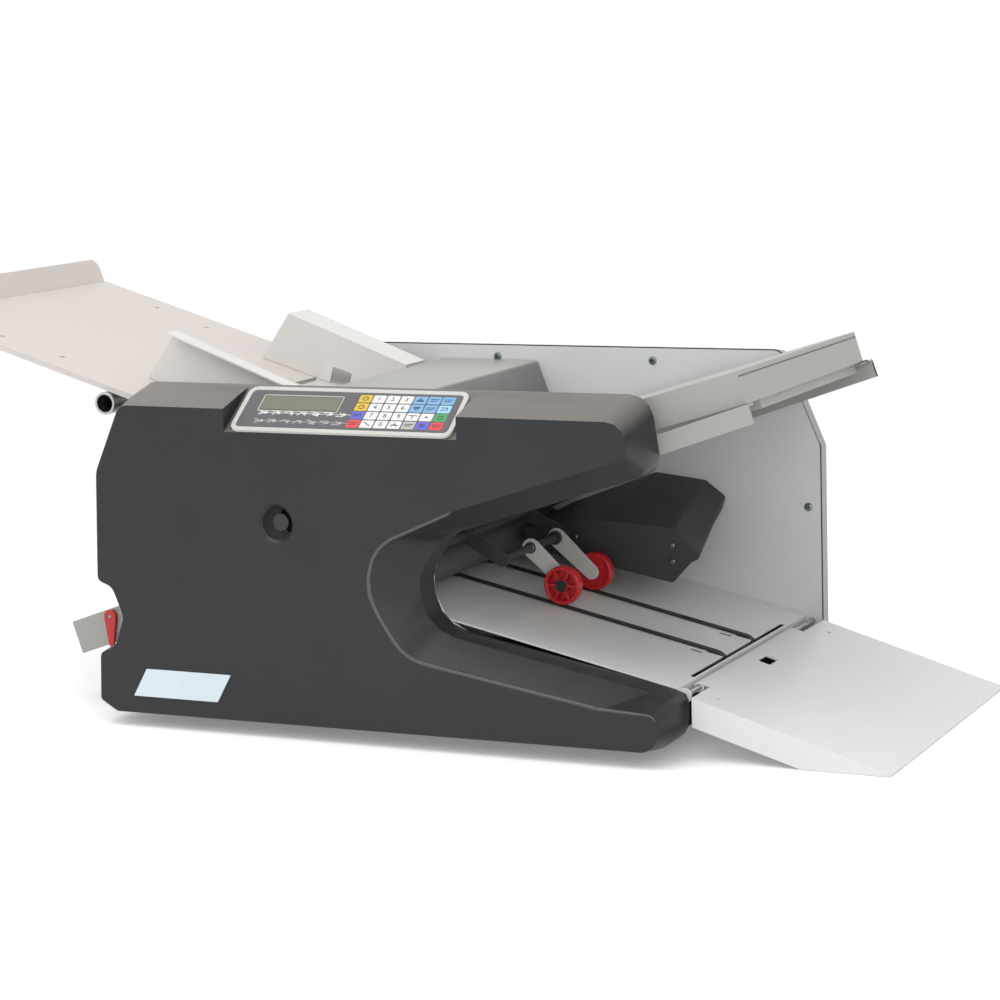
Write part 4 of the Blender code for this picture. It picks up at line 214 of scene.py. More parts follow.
class FoldingMachineStage(bpy.types.PropertyGroup):
    camera_place: place("Camera place", "From the machine's own origin to the camera",
                        (1.05692, -2.50141, 0.69400))
    camera_yaw: angle("Camera yaw", "Turn of the camera round the upright", 25.66)
    camera_pitch: angle("Camera pitch", "How far the camera looks down", 9.2)
    camera_roll: angle("Camera roll", "Turn of the camera round its own axis", -1.83)
    lens: FloatProperty(name="Lens", description="Focal length of the camera", default=104.4,
                        unit="CAMERA")
    shift: FloatProperty(name="Shift", description="Sideways shift of the lens", default=0.004)
    room: length("Room", "Half the width of the floor", 5.0)
    wall: length("Wall", "Height of the backdrop", 4.0)
    bend: length("Bend", "Radius between floor and backdrop", 1.2)
    key_power: power("Key power", "Soft light from above", 34.0)
    fill_power: power("Fill power", "Soft light from the front", 16.0)
    key_size: length("Key size", "Side of the square light above", 2.4)
    fill_size: length("Fill size", "Side of the square light in front", 1.8)
    key_place: place("Key place", "Where the light above stands", (-0.4, -0.9, 2.6))
    fill_place: place("Fill place", "Where the light in front stands", (1.6, -2.6, 1.3))
    light_target: place("Light target", "Where both lights look", (0.0, 0.0, 0.2))
    sky: FloatProperty(name="Sky", description="Strength of the even light", default=0.86)
    floor_glow: FloatProperty(name="Floor glow", description="Lift of the pale floor toward white",
                              default=0.20)
    fade: FloatVectorProperty(name="Fade", default=(0.75, 1.5), size=2, unit="LENGTH",
                              description="Where the floor begins and ends to turn plain white")
    floor: colour("Floor", "Pale floor", (0.92, 0.92, 0.92))


# Nodes of shaders and shapes

def add_node(tree, kind, inputs=None, **settings):
    made = tree.nodes.new(kind)
    for key, value in settings.items():
        setattr(made, key, value)
    for key, value in (inputs or {}).items():
        if isinstance(value, bpy.types.NodeSocket):
            tree.links.new(value, made.inputs[key])
        else:
            made.inputs[key].default_value = value
    return made


def math_node(tree, operation, first, second=0.5, clamp=False):
    made = add_node(tree, "ShaderNodeMath", {0: first, 1: second}, operation=operation, use_clamp=clamp)
    return made.outputs[0]


def mix_colours(tree, factor, first, second):
    made = add_node(tree, "ShaderNodeMix", {0: factor, 6: first, 7: second}, data_type="RGBA")
    return made.outputs[2]


def noise(tree, vector, scale, detail=2.0, rough=0.5):
    made = add_node(tree, "ShaderNodeTexNoise",
                    {"Vector": vector, "Scale": scale, "Detail": detail, "Roughness": rough})
    return made.outputs["Fac"]


def threshold(tree, value, low, high):
    made = add_node(tree, "ShaderNodeMapRange",
                    {"Value": value, "From Min": low, "From Max": high, "To Min": 0.0, "To Max": 1.0})
    return made.outputs["Result"]


def shader_group(name, inputs, outputs):
    """Empty node group with named sockets and its two end nodes."""
    tree = bpy.data.node_groups.new(name, "ShaderNodeTree")
    for label, kind, default in inputs:
        socket = tree.interface.new_socket(label, in_out="INPUT", socket_type=kind)
        if default is not None:
            socket.default_value = default
    for label in outputs:
        tree.interface.new_socket(label, in_out="OUTPUT", socket_type="NodeSocketFloat")
    return tree, tree.nodes.new("NodeGroupInput"), tree.nodes.new("NodeGroupOutput")


# Noise as (scale per metre, detail, roughness); limits are where a mask starts and is full

SLOW_TONE_DETAIL = (4.0, 0.6)
EDGE_NOISE = (90.0, 3.0, 0.7)
EDGE_LIMITS = (0.40, 0.62)
EDGE_WIDTH = 0.06
SCUFF_TURN = (0.0, 0.5, 0.0)
SCUFF_STRETCH = (1.0, 3.0, 22.0)
SCUFF_DETAIL = (5.0, 0.75)
SCUFF_LIMITS = (0.62, 0.72)
PATCH_NOISE = (9.0, 2.0)
PATCH_LIMITS = (0.52, 0.66)
DUST_NOISE = (30.0, 5.0, 0.7)
DUST_LIMITS = (0.35, 0.75)
DUST_FLAT_LIMITS = (0.55, 1.0)
# Painted highlight on up-facing tops above a height, standing in for the light from above
TOP_SHEEN_NOISE = (14.0, 3.0)
TOP_SHEEN_UNEVEN = 0.16
TOP_SHEEN_LIMITS = (0.40, 1.04)
TOP_SHEEN_HEIGHTS = (0.20, 0.28)
BRUSH_STRETCH = (0.03, 1.0, 1.0)
BRUSH_DETAIL = 3.0
BLOTCH_SIZE = 0.09


def grain_group():
    """Fine pebbled surface: a height for the bump and a slow change of tone."""
    inputs = [("Vector", "NodeSocketVector", None), ("Grain size", "NodeSocketFloat", 0.001),
              ("Blotch size", "NodeSocketFloat", 0.08)]
    tree, start, stop = shader_group("pebbled grain", inputs, ("Height", "Tone"))
    fine_scale = math_node(tree, "DIVIDE", 1.0, start.outputs["Grain size"])
    slow_scale = math_node(tree, "DIVIDE", 1.0, start.outputs["Blotch size"])
    fine = noise(tree, start.outputs["Vector"], fine_scale)
    slow = noise(tree, start.outputs["Vector"], slow_scale, *SLOW_TONE_DETAIL)
    tree.links.new(fine, stop.inputs["Height"])
    tree.links.new(slow, stop.inputs["Tone"])
    return tree


def edge_group():
    """Mask of rubbed outer edges, broken up by noise."""
    inputs = [("Vector", "NodeSocketVector", None), ("Start", "NodeSocketFloat", 0.53)]
    tree, start, stop = shader_group("rubbed edges", inputs, ("Mask",))
    bend = tree.nodes.new("ShaderNodeNewGeometry").outputs["Pointiness"]
    limit = math_node(tree, "ADD", start.outputs["Start"], EDGE_WIDTH)
    edges = threshold(tree, bend, start.outputs["Start"], limit)
    broken = threshold(tree, noise(tree, start.outputs["Vector"], *EDGE_NOISE), *EDGE_LIMITS)
    tree.links.new(math_node(tree, "MULTIPLY", edges, broken), stop.inputs["Mask"])
    return tree


def scuff_group():
    """Mask of a few faint long scratches and small marks."""
    inputs = [("Vector", "NodeSocketVector", None), ("Spread", "NodeSocketFloat", 6.0)]
    tree, start, stop = shader_group("faint scuffs", inputs, ("Mask",))
    stretched = add_node(tree, "ShaderNodeMapping", {"Vector": start.outputs["Vector"],
                         "Rotation": SCUFF_TURN, "Scale": SCUFF_STRETCH})
    lines = noise(tree, stretched.outputs["Vector"], start.outputs["Spread"], *SCUFF_DETAIL)
    patches = noise(tree, start.outputs["Vector"], *PATCH_NOISE)
    mask = math_node(tree, "MULTIPLY", threshold(tree, lines, *SCUFF_LIMITS),
                     threshold(tree, patches, *PATCH_LIMITS))
    tree.links.new(mask, stop.inputs["Mask"])
    return tree


def lean_of_face(tree):
    """How far a face looks up, from -1 to 1."""
    normal = tree.nodes.new("ShaderNodeNewGeometry").outputs["Normal"]
    return add_node(tree, "ShaderNodeSeparateXYZ", {0: normal}).outputs["Z"]


def dust_group():
    """Mask of fine dust on faces that look up."""
    inputs = [("Vector", "NodeSocketVector", None)]
    tree, start, stop = shader_group("settled dust", inputs, ("Mask",))
    flat = threshold(tree, lean_of_face(tree), *DUST_FLAT_LIMITS)
    clouds = threshold(tree, noise(tree, start.outputs["Vector"], *DUST_NOISE), *DUST_LIMITS)
    tree.links.new(math_node(tree, "MULTIPLY", flat, clouds), stop.inputs["Mask"])
    return tree


def top_sheen_group():
    """Mask of faces that look up, above a height, with a soft uneven edge: painted highlight where the light
    from above falls on the covers' tops.
    """
    tree, start, stop = shader_group("faded top", [("Vector", "NodeSocketVector", None)], ("Mask",))
    uneven = math_node(tree, "MULTIPLY", noise(tree, start.outputs["Vector"], *TOP_SHEEN_NOISE), TOP_SHEEN_UNEVEN)
    lean = threshold(tree, math_node(tree, "ADD", lean_of_face(tree), uneven), *TOP_SHEEN_LIMITS)
    height = add_node(tree, "ShaderNodeSeparateXYZ", {0: start.outputs["Vector"]}).outputs["Z"]
    mask = math_node(tree, "MULTIPLY", lean, threshold(tree, height, *TOP_SHEEN_HEIGHTS))
    tree.links.new(mask, stop.inputs["Mask"])
    return tree


def brushed_group():
    """Fine lines of drawn or ground metal along X."""
    inputs = [("Vector", "NodeSocketVector", None), ("Line size", "NodeSocketFloat", 0.0006)]
    tree, start, stop = shader_group("drawn lines", inputs, ("Height",))
    scale = math_node(tree, "DIVIDE", 1.0, start.outputs["Line size"])
    stretched = add_node(tree, "ShaderNodeMapping",
                         {"Vector": start.outputs["Vector"], "Scale": BRUSH_STRETCH})
    tree.links.new(noise(tree, stretched.outputs["Vector"], scale, BRUSH_DETAIL), stop.inputs["Height"])
    return tree


GROUP_MAKERS = {"grain": grain_group, "edges": edge_group, "scuffs": scuff_group,
                "dust": dust_group, "brushed": brushed_group, "top_sheen": top_sheen_group}
groups = {}


def use_group(tree, key, inputs):
    if key not in groups:
        groups[key] = GROUP_MAKERS[key]()
    return add_node(tree, "ShaderNodeGroup", inputs, node_tree=groups[key])


# Finishes

TONE_SPREAD = 2.2               # slow change of tone either way, in blotch shares of the base
TONE_LIFT = 0.004
WEAR_SHARE = 0.7                # most that rubbed edges cover
SCUFF_KEEP_SHARE = 0.75         # a scuff is this much of the base plus the lift
SCUFF_LIFT = 0.12
DUST_COLOUR = (0.42, 0.41, 0.39, 1.0)
ROUGHNESS_SPREAD = 0.16         # slow change of roughness, centred on the named one
BRUSHED_GRAIN_SHARE = 0.3
PLASTIC_WEAR_SHARE = 0.6        # worn plastic is this much of its colour plus the lift
PLASTIC_WEAR_LIFT = 0.06
HOOD_ROUGHNESS = 0.50


def surface(name, base, roughness, grain=0.0012, bump=0.10, blotch=0.04, metallic=0.0,
            wear=None, wear_start=0.56, scuffs=0.0, dust=0.0, brushed=0.0, coat=0.0, faded=None, gloss=0.5):
    """Painted, moulded or bare surface with grain, a painted highlight on lit tops, rubbed edges, scuffs and
    dust.
    """
    if name in bpy.data.materials:
        return bpy.data.materials[name]
    material = bpy.data.materials.new(name)
    material.use_nodes = True
    tree = material.node_tree
    shader = tree.nodes["Principled BSDF"]
    vector = add_node(tree, "ShaderNodeTexCoord").outputs["Object"]
    pebbles = use_group(tree, "grain", {"Vector": vector, "Grain size": grain, "Blotch size": BLOTCH_SIZE})
    spread = TONE_SPREAD * blotch
    lighter = (*[min(1.0, part * (1.0 + spread) + TONE_LIFT) for part in base], 1.0)
    darker = (*[part * (1.0 - spread) for part in base], 1.0)
    tone = mix_colours(tree, pebbles.outputs["Tone"], darker, lighter)
    # Painted highlight: up-facing tops are lightened toward the given top colour
    if faded:
        top_sheen = use_group(tree, "top_sheen", {"Vector": vector})
        tone = mix_colours(tree, top_sheen.outputs["Mask"], tone, (*faded, 1.0))
    if wear:
        edges = use_group(tree, "edges", {"Vector": vector, "Start": wear_start})
        amount = math_node(tree, "MULTIPLY", edges.outputs["Mask"], WEAR_SHARE)
        tone = mix_colours(tree, amount, tone, (*wear, 1.0))
    if scuffs:
        marks = use_group(tree, "scuffs", {"Vector": vector})
        pale = (*[part * SCUFF_KEEP_SHARE + SCUFF_LIFT for part in base], 1.0)
        amount = math_node(tree, "MULTIPLY", marks.outputs["Mask"], scuffs)
        tone = mix_colours(tree, amount, tone, pale)
    if dust:
        settled = use_group(tree, "dust", {"Vector": vector})
        amount = math_node(tree, "MULTIPLY", settled.outputs["Mask"], dust)
        tone = mix_colours(tree, amount, tone, DUST_COLOUR)
    tree.links.new(tone, shader.inputs["Base Color"])
    uneven = math_node(tree, "MULTIPLY", pebbles.outputs["Tone"], ROUGHNESS_SPREAD)
    rough = math_node(tree, "ADD", uneven, roughness - ROUGHNESS_SPREAD / 2)
    tree.links.new(rough, shader.inputs["Roughness"])
    shader.inputs["Metallic"].default_value = metallic
    shader.inputs["Coat Weight"].default_value = coat
    shader.inputs["Specular IOR Level"].default_value = gloss
    height = pebbles.outputs["Height"]
    if brushed:
        lines = use_group(tree, "brushed", {"Vector": vector, "Line size": brushed})
        height = math_node(tree, "MULTIPLY", height, BRUSHED_GRAIN_SHARE)
        height = math_node(tree, "ADD", lines.outputs["Height"], height)
    relief = add_node(tree, "ShaderNodeBump", {"Height": height, "Strength": bump, "Distance": grain})
    tree.links.new(relief.outputs["Normal"], shader.inputs["Normal"])
    return material


def palette(key):
    return tuple(getattr(bpy.context.scene.folding_machine_colours, key))


def sizes():
    return bpy.context.scene.folding_machine_sizes


def moulded_shell(key="shell"):
    # The shell's top colour is painted highlight on its lit tops
    return surface("moulded " + key, palette(key), roughness=0.34, grain=0.0011, bump=0.13, blotch=0.07,
                   scuffs=0.14, dust=0.05, faded=palette(key + "_top"), gloss=0.30)


def enamel(key, roughness=0.42, dust=0.06):
    return surface("enamel " + key, palette(key), roughness, grain=0.0022, bump=0.05, blotch=0.022,
                   scuffs=0.16, dust=dust)


def soft_rubber(key="rubber"):
    return surface("rubber " + key, palette(key), roughness=0.72, grain=0.0007, bump=0.20, blotch=0.12,
                   dust=0.10)


def bare_steel(key="steel"):
    return surface("metal " + key, palette(key), roughness=0.34, grain=0.0009, bump=0.06, blotch=0.05,
                   metallic=1.0, brushed=0.0007)


def gloss_plastic(key, roughness=0.30):
    return surface("plastic " + key, palette(key), roughness, grain=0.0016, bump=0.04, blotch=0.06,
                   wear=tuple(part * PLASTIC_WEAR_SHARE + PLASTIC_WEAR_LIFT for part in palette(key)),
                   wear_start=0.62, coat=0.12)


def printed(key):
    return surface("print " + key, palette(key), roughness=0.46, grain=0.0008, bump=0.03, blotch=0.06)


# Pieces

def merged_mesh(node):
    """Frame node's mesh with corners merged and level faces joined."""
    bm = bmesh.new()
    bm.from_mesh(frame["nodes"][node].data)
    bmesh.ops.remove_doubles(bm, verts=bm.verts, dist=MERGE)
    bmesh.ops.dissolve_limit(bm, angle_limit=FLAT, verts=bm.verts, edges=bm.edges)
    return bm


def keep_mesh(item):
    """Turn an object's modifiers into plain mesh."""
    bpy.context.view_layer.update()
    graph = bpy.context.evaluated_depsgraph_get()
    mesh = bpy.data.meshes.new_from_object(item.evaluated_get(graph))
    item.modifiers.clear()
    item.data = mesh
    return item


def new_piece(name, bm, material, is_closed=True):
    if is_closed:
        bmesh.ops.recalc_face_normals(bm, faces=bm.faces)
    mesh = bpy.data.meshes.new(name)
    bm.to_mesh(mesh)
    bm.free()
    mesh.materials.append(material)
    item = bpy.data.objects.new(name, mesh)
    bpy.context.scene.collection.objects.link(item)
    return item


def round_edges(item, width, limit=30.0, segments=3):
    item.data.shade_smooth()
    bevel = item.modifiers.new("rounded edges", "BEVEL")
    bevel.width = width
    bevel.segments = segments
    bevel.limit_method = "ANGLE"
    bevel.angle_limit = math.radians(limit)
    bevel.use_clamp_overlap = True
    bevel.harden_normals = True
    keep_mesh(item)
    return item


def dress_node(node, material, width):
    """Copy of a frame node with merged corners, flat faces and rounded edges."""
    item = new_piece(node + "_skin", merged_mesh(node), material, is_closed=False)
    for attribute in list(item.data.attributes):
        if attribute.name in ("custom_normal", "sharp_face", "sharp_edge"):
            item.data.attributes.remove(attribute)
    round_edges(item, width)
    return attach(item, body_of(node), replaced=[node])


def attach(item, body, replaced=()):
    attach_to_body(item, body)
    if replaced:
        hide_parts(*replaced)
    return item


def recolour_node(node, material):
    """Keep the frame's own shape and give it a finish."""
    item = frame["nodes"][node]
    for slot in item.material_slots:
        slot.material = material


def dress_all(table, width):
    for node, material in table.items():
        dress_node(node, material, width)


def fold_path():
    """Corners of the near cover's fold round its mouth, in order, taken from the frame's mesh."""
    bm = merged_mesh("near_cover")
    front = min(vertex.co.y for vertex in bm.verts)
    follow = {}
    for edge in bm.edges:
        leans = sorted(face.normal.y for face in edge.link_faces)
        spots = [vertex.co - ORIGIN for vertex in edge.verts]
        is_fold = len(leans) == 2 and leans[0] < -FRONT_LEAN and BAND_LEANS[0] < -leans[1] < BAND_LEANS[1]
        is_mouth = all(spot.x > RIDGE_LEFT and RIDGE_BOTTOM < spot.z < RIDGE_TOP for spot in spots)
        if is_fold and is_mouth and all(vertex.co.y < front + LIFT for vertex in edge.verts):
            first, second = edge.verts
            follow.setdefault(first.index, []).append(second.index)
            follow.setdefault(second.index, []).append(first.index)
    bm.verts.ensure_lookup_table()
    ends = [index for index, beside in follow.items() if len(beside) == 1]
    order = [max(ends, key=lambda index: bm.verts[index].co.z)]
    while True:
        beside = [index for index in follow[order[-1]] if index not in order]
        if not beside:
            break
        order.append(beside[0])
    path = [bm.verts[index].co.copy() for index in order]
    bm.free()
    return path


def soften_path(path, rounds=3, cut_share=0.25):
    """Cut a path's corners a few times over, its two ends kept."""
    for _ in range(rounds):
        cut = [path[0]]
        for first, second in zip(path, path[1:]):
            cut += [first.lerp(second, cut_share), first.lerp(second, 1.0 - cut_share)]
        path = cut + [path[-1]]
    return path


def build_ridge(size):
    """Soft rounded ridge along the fold round the near cover's mouth, thin at both ends; its lighter colour
    is painted highlight on the fold.
    """
    path = soften_path(fold_path())
    bm = bmesh.new()
    rings = []
    for index, spot in enumerate(path):
        run = (path[min(index + 1, len(path) - 1)] - path[max(index - 1, 0)]).normalized()
        side = run.cross(Vector((0.0, 1.0, 0.0)))
        from_end = min(index, len(path) - 1 - index)
        share = min(1.0, RIDGE_END_SHARE + RIDGE_TAPER * from_end / len(path))
        ring = []
        for turn in range(RIDGE_SIDES):
            bearing = math.tau * turn / RIDGE_SIDES
            depth = size.ridge_depth * share * (1.0 + math.sin(bearing))
            ring.append(bm.verts.new(spot + side * size.ridge_width * share * math.cos(bearing)
                                     + Vector((0.0, depth, 0.0))))
        rings.append(ring)
    join_rings(bm, rings)
    # The ridge's shape is real; its lighter colour is painted highlight
    material = surface("moulded ridge", palette("ridge"), roughness=0.26, grain=0.0011, blotch=0.07)
    item = new_piece("mouth_ridge", bm, material)
    item.data.shade_smooth()
    attach(item, "chassis")


def paint_frame(item, toward_bay):
    """Grey rails on a frame plate's bay side, their grey painted shade where they lie under the fold plates,
    and on the far plate a dark line along the sheet's own edge as painted shade in its gap to the cover.
    """
    mesh = item.data
    mesh.materials.append(enamel("grey"))
    mesh.materials.append(printed("dark"))
    sides = [vertex.co.y * toward_bay for vertex in mesh.vertices]
    rail_side = max(sides)
    for face in mesh.polygons:
        spot = (item.matrix_world @ face.center).y * toward_bay
        middle_spot = face.center - ORIGIN
        is_rail_web = toward_bay > 0.0 and middle_spot.x > RAIL_LEFT and middle_spot.z > RAIL_HEIGHT
        # The rails' grey is painted shade under the fold plates
        if spot > rail_side - RAIL_REACH or is_rail_web:
            face.material_index = 1
        # Dark edge faces of the far sheet: painted shade in its gap to the cover
        elif toward_bay < 0.0 and abs(face.normal.y) < EDGE_LEAN and face.area < EDGE_FACE_AREA:
            face.material_index = 2


# Outlines and solids in a sloping frame

class Plane:
    """Flat frame: U across, V up the slope, W out of it, all lengths in metres."""

    def __init__(self, origin, across, up):
        self.origin = origin
        self.across = across.normalized()
        self.up = up.normalized()
        self.out = self.across.cross(self.up)

    def at(self, u, v, w=0.0):
        return self.origin + self.across * u + self.up * v + self.out * w


def round_corners(half_u, half_v, radius, steps=4):
    outline = []
    for turn, (side_u, side_v) in enumerate(((1, 1), (-1, 1), (-1, -1), (1, -1))):
        centre_u = side_u * (half_u - radius)
        centre_v = side_v * (half_v - radius)
        for step in range(steps + 1):
            bearing = QUARTER_TURN * (turn + step / steps)
            outline.append((centre_u + radius * math.cos(bearing), centre_v + radius * math.sin(bearing)))
    return outline


def add_prism(bm, plane, outline, bottom, top, centre=(0.0, 0.0), crown=1.0):
    """Closed solid on a plane; its top outline is drawn in by the crown share."""
    rings = []
    for level, share in ((bottom, 1.0), (top, crown)):
        points = [plane.at(centre[0] + u * share, centre[1] + v * share, level) for u, v in outline]
        rings.append([bm.verts.new(point) for point in points])
    join_rings(bm, rings)


def add_stroke(bm, plane, points, width, bottom, top):
    """Printed line through a few points, as short flat bars."""
    for first, second in zip(points, points[1:]):
        run = Vector((second[0] - first[0], second[1] - first[1]))
        along = run.normalized() * width / 2
        side = Vector((-along.y, along.x))
        start = Vector(first) - along
        stop = Vector(second) + along
        corners = [start + side, start - side, stop - side, stop + side]
        add_prism(bm, plane, [(corner.x, corner.y) for corner in corners], bottom, top)


def add_turned(bm, centre, axis, profile, sides=48, is_ring=False):
    """Closed solid, or closed ring clear of the axis, from (place along the axis, radius) steps."""
    turn = axis.to_track_quat("Z", "Y").to_matrix()
    circle = [(math.cos(math.tau * side / sides), math.sin(math.tau * side / sides)) for side in range(sides)]
    rings = []
    for along, radius in profile:
        spots = [Vector((radius * x, radius * y, along)) for x, y in circle]
        rings.append([bm.verts.new(centre + turn @ spot) for spot in spots])
    join_rings(bm, rings, is_ring)


def join_rings(bm, rings, is_ring=False):
    """Faces from ring to ring; the ends are closed, or joined to each other in a ring."""
    sides = len(rings[0])
    for first, second in zip(rings, rings[1:] + (rings[:1] if is_ring else [])):
        for index in range(sides):
            follow = (index + 1) % sides
            bm.faces.new((first[index], first[follow], second[follow], second[index]))
    if not is_ring:
        bm.faces.new(rings[0])
        bm.faces.new(rings[-1])


# Keypad

KEYPAD_SLOPE = math.radians(36.0)
MEMBRANE_LENGTH = 0.239
MEMBRANE_WIDTH = 0.0535
KEY_ROWS = (
    ("key_yellow", "print_white", "print_white", "print_white", "key_blue", "key_blue", "key_blue"),
    ("key_yellow", "print_white", "print_white", "print_white", "key_blue", "key_blue", "key_pale_blue"),
    ("key_violet", "print_white", "print_white", "print_white", "print_white", "print_white", "key_green"),
    ("key_red", "print_white", "print_white", "print_white", "key_grey", "key_violet", "key_red"))
LEGEND_ROWS = (
    ("ring", "1", "2", "3", "up", "bars", "bars"),
    ("ring", "4", "5", "6", "down", "bars", "corner"),
    ("bars", "7", "8", "9", "split", "dot", "ring"),
    ("bars", "slash", "0", "up small", "bars", "right", "bars"))
KEY_CROWN_SHARE = 0.95          # a key's top is drawn in to this
KEY_ROUND_SHARE = 0.25          # its edge's rounding as a share of its height
KEY_ROUND_LIMIT = 20.0
# Simple marks as strokes, in shares of half a key each way
LEGEND_STROKE_SHARES = {
    "ring": [[(-0.45, -0.1), (-0.25, 0.4), (0.25, 0.4), (0.45, -0.1), (0.1, -0.45), (-0.3, -0.35)]],
    "bars": [[(-0.6, 0.25), (0.6, 0.25)], [(-0.6, -0.2), (0.35, -0.2)]],
    "corner": [[(-0.5, 0.35), (0.4, 0.35), (0.4, -0.35)], [(-0.5, -0.35), (0.1, -0.1)]],
    "split": [[(-0.6, 0.3), (0.6, 0.3)], [(0.0, 0.3), (0.0, -0.4)]],
    "slash": [[(-0.5, 0.4), (0.5, -0.4)]],
    "up": [[(-0.5, -0.3), (0.0, 0.45), (0.5, -0.3), (-0.5, -0.3)], [(-0.2, -0.1), (0.2, -0.1)]],
    "up small": [[(-0.35, -0.35), (0.0, 0.35), (0.35, -0.35)], [(-0.5, -0.1), (0.5, -0.1)]],
    "down": [[(-0.5, 0.3), (0.0, -0.45), (0.5, 0.3), (-0.5, 0.3)], [(-0.2, 0.1), (0.2, 0.1)]],
    "right": [[(-0.3, 0.4), (0.4, 0.0), (-0.3, -0.4), (-0.3, 0.4)]],
    "dot": [[(-0.1, 0.1), (0.1, 0.1), (0.1, -0.1), (-0.1, -0.1), (-0.1, 0.1)]]}
FOLD_MARK_SHARES = (
    ((-0.8, 0.6), (0.2, 0.0), (-0.6, -0.6)), ((-0.8, 0.5), (0.5, 0.5), (-0.5, -0.5)),
    ((-0.8, 0.0), (0.0, 0.6), (0.6, -0.5)), ((-0.7, -0.5), (0.0, 0.5), (0.7, -0.5)),
    ((-0.8, 0.6), (0.4, 0.2), (-0.4, -0.2), (0.7, -0.6)), ((-0.7, 0.4), (0.7, 0.4), (0.0, -0.5)),
    ((-0.8, -0.5), (0.5, -0.5), (-0.3, 0.5)))
FOLD_PITCH_SHARE = 0.97         # from one fold mark to the next, as a share of the key pitch
FOLD_FIRST_SHARE = 0.3          # the first mark stands this much of a pitch into its place
FOLD_SIZE_SHARES = (0.42, 0.40)
FOLD_BOX_SHARES = (0.12, 0.13, 0.02)
FOLD_BOX_PLACE_SHARE = 0.22
FOLD_LINE_SHARE = 0.7           # widths of the line and of the marks' strokes
FOLD_STROKE_SHARE = 1.1
LINE_TOP = 5 * LIFT             # tops of printed lines and of marks over the membrane
MARK_TOP = 6 * LIFT
BORDER_SHARE = 1.6              # the display border's width in mark widths
DISPLAY_CELLS = 20
CELL_FIELD_SHARE = 0.86         # the cells' field as a share of the display's length
CELL_ROW_SHARE = 0.36
CELL_SHARES = (0.40, 0.27, 0.05)
CELL_TINT = 0.80                # a cell's tone against the display's


def keypad_plane():
    """Top face of the membrane, with its middle as the origin."""
    out = Vector((0.0, -math.sin(KEYPAD_SLOPE), math.cos(KEYPAD_SLOPE)))
    up = Vector((0.0, math.cos(KEYPAD_SLOPE), math.sin(KEYPAD_SLOPE)))
    low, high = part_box("keypad_overlay")
    depth = (high.z - low.z) - MEMBRANE_WIDTH * math.sin(KEYPAD_SLOPE)
    thickness = max(depth, 0.0) / math.cos(KEYPAD_SLOPE)
    return Plane(middle("keypad_overlay") + out * thickness / 2, Vector((1.0, 0.0, 0.0)), up)


def key_centres(size):
    """Key places on the membrane, row by row from the top left."""
    right = MEMBRANE_LENGTH / 2 - size.key_margin - size.key_pitch / 2
    left = right - (len(KEY_ROWS[0]) - 1) * size.key_pitch
    top = (len(KEY_ROWS) - 1) * size.key_row_pitch / 2
    return [[(left + column * size.key_pitch, top - row * size.key_row_pitch)
             for column in range(len(KEY_ROWS[0]))] for row in range(len(KEY_ROWS))]


def build_keys(plane, size):
    half_u = (size.key_pitch - size.key_gap) / 2
    half_v = (size.key_row_pitch - size.key_gap) / 2
    outline = round_corners(half_u, half_v, size.key_corner)
    meshes = {}
    for row, centres in enumerate(key_centres(size)):
        for column, centre in enumerate(centres):
            key = KEY_ROWS[row][column]
            if key not in meshes:
                meshes[key] = bmesh.new()
            add_prism(meshes[key], plane, outline, LIFT, size.key_height, centre, KEY_CROWN_SHARE)
    for key, bm in meshes.items():
        item = new_piece("keys_" + key, bm, printed(key))
        round_edges(item, size.key_height * KEY_ROUND_SHARE, KEY_ROUND_LIMIT)
        attach(item, "chassis")


def build_legends(plane, size):
    bottom = size.key_height + LIFT
    top = bottom + LIFT
    half_u = (size.key_pitch - size.key_gap) / 2
    half_v = (size.key_row_pitch - size.key_gap) / 2
    strokes = bmesh.new()
    for row, centres in enumerate(key_centres(size)):
        for column, centre in enumerate(centres):
            legend = LEGEND_ROWS[row][column]
            if legend.isdigit():
                build_digit(plane, size, legend, centre, bottom)
                continue
            for shares in LEGEND_STROKE_SHARES[legend]:
                points = [(centre[0] + u * half_u, centre[1] + v * half_v) for u, v in shares]
                add_stroke(strokes, plane, points, size.mark_width, bottom, top)
    attach(new_piece("key_marks", strokes, printed("print_dark")), "chassis")


def build_digit(plane, size, digit, centre, bottom):
    text = bpy.data.curves.new("digit_" + digit, "FONT")
    text.body = digit
    text.size = size.digit_height
    text.extrude = LIFT / 2
    text.align_x = "CENTER"
    text.align_y = "CENTER"
    item = bpy.data.objects.new("digit_" + digit, text)
    bpy.context.scene.collection.objects.link(item)
    bpy.context.view_layer.update()
    mesh = bpy.data.meshes.new_from_object(item.evaluated_get(bpy.context.evaluated_depsgraph_get()))
    bpy.data.objects.remove(item)
    for vertex in mesh.vertices:
        spot = vertex.co.copy()
        vertex.co = plane.at(centre[0] + spot.x, centre[1] + spot.y, bottom + LIFT / 2 + spot.z)
    mesh.materials.clear()
    mesh.materials.append(printed("print_dark"))
    solid = bpy.data.objects.new("digit_" + digit, mesh)
    bpy.context.scene.collection.objects.link(solid)
    attach(solid, "chassis")


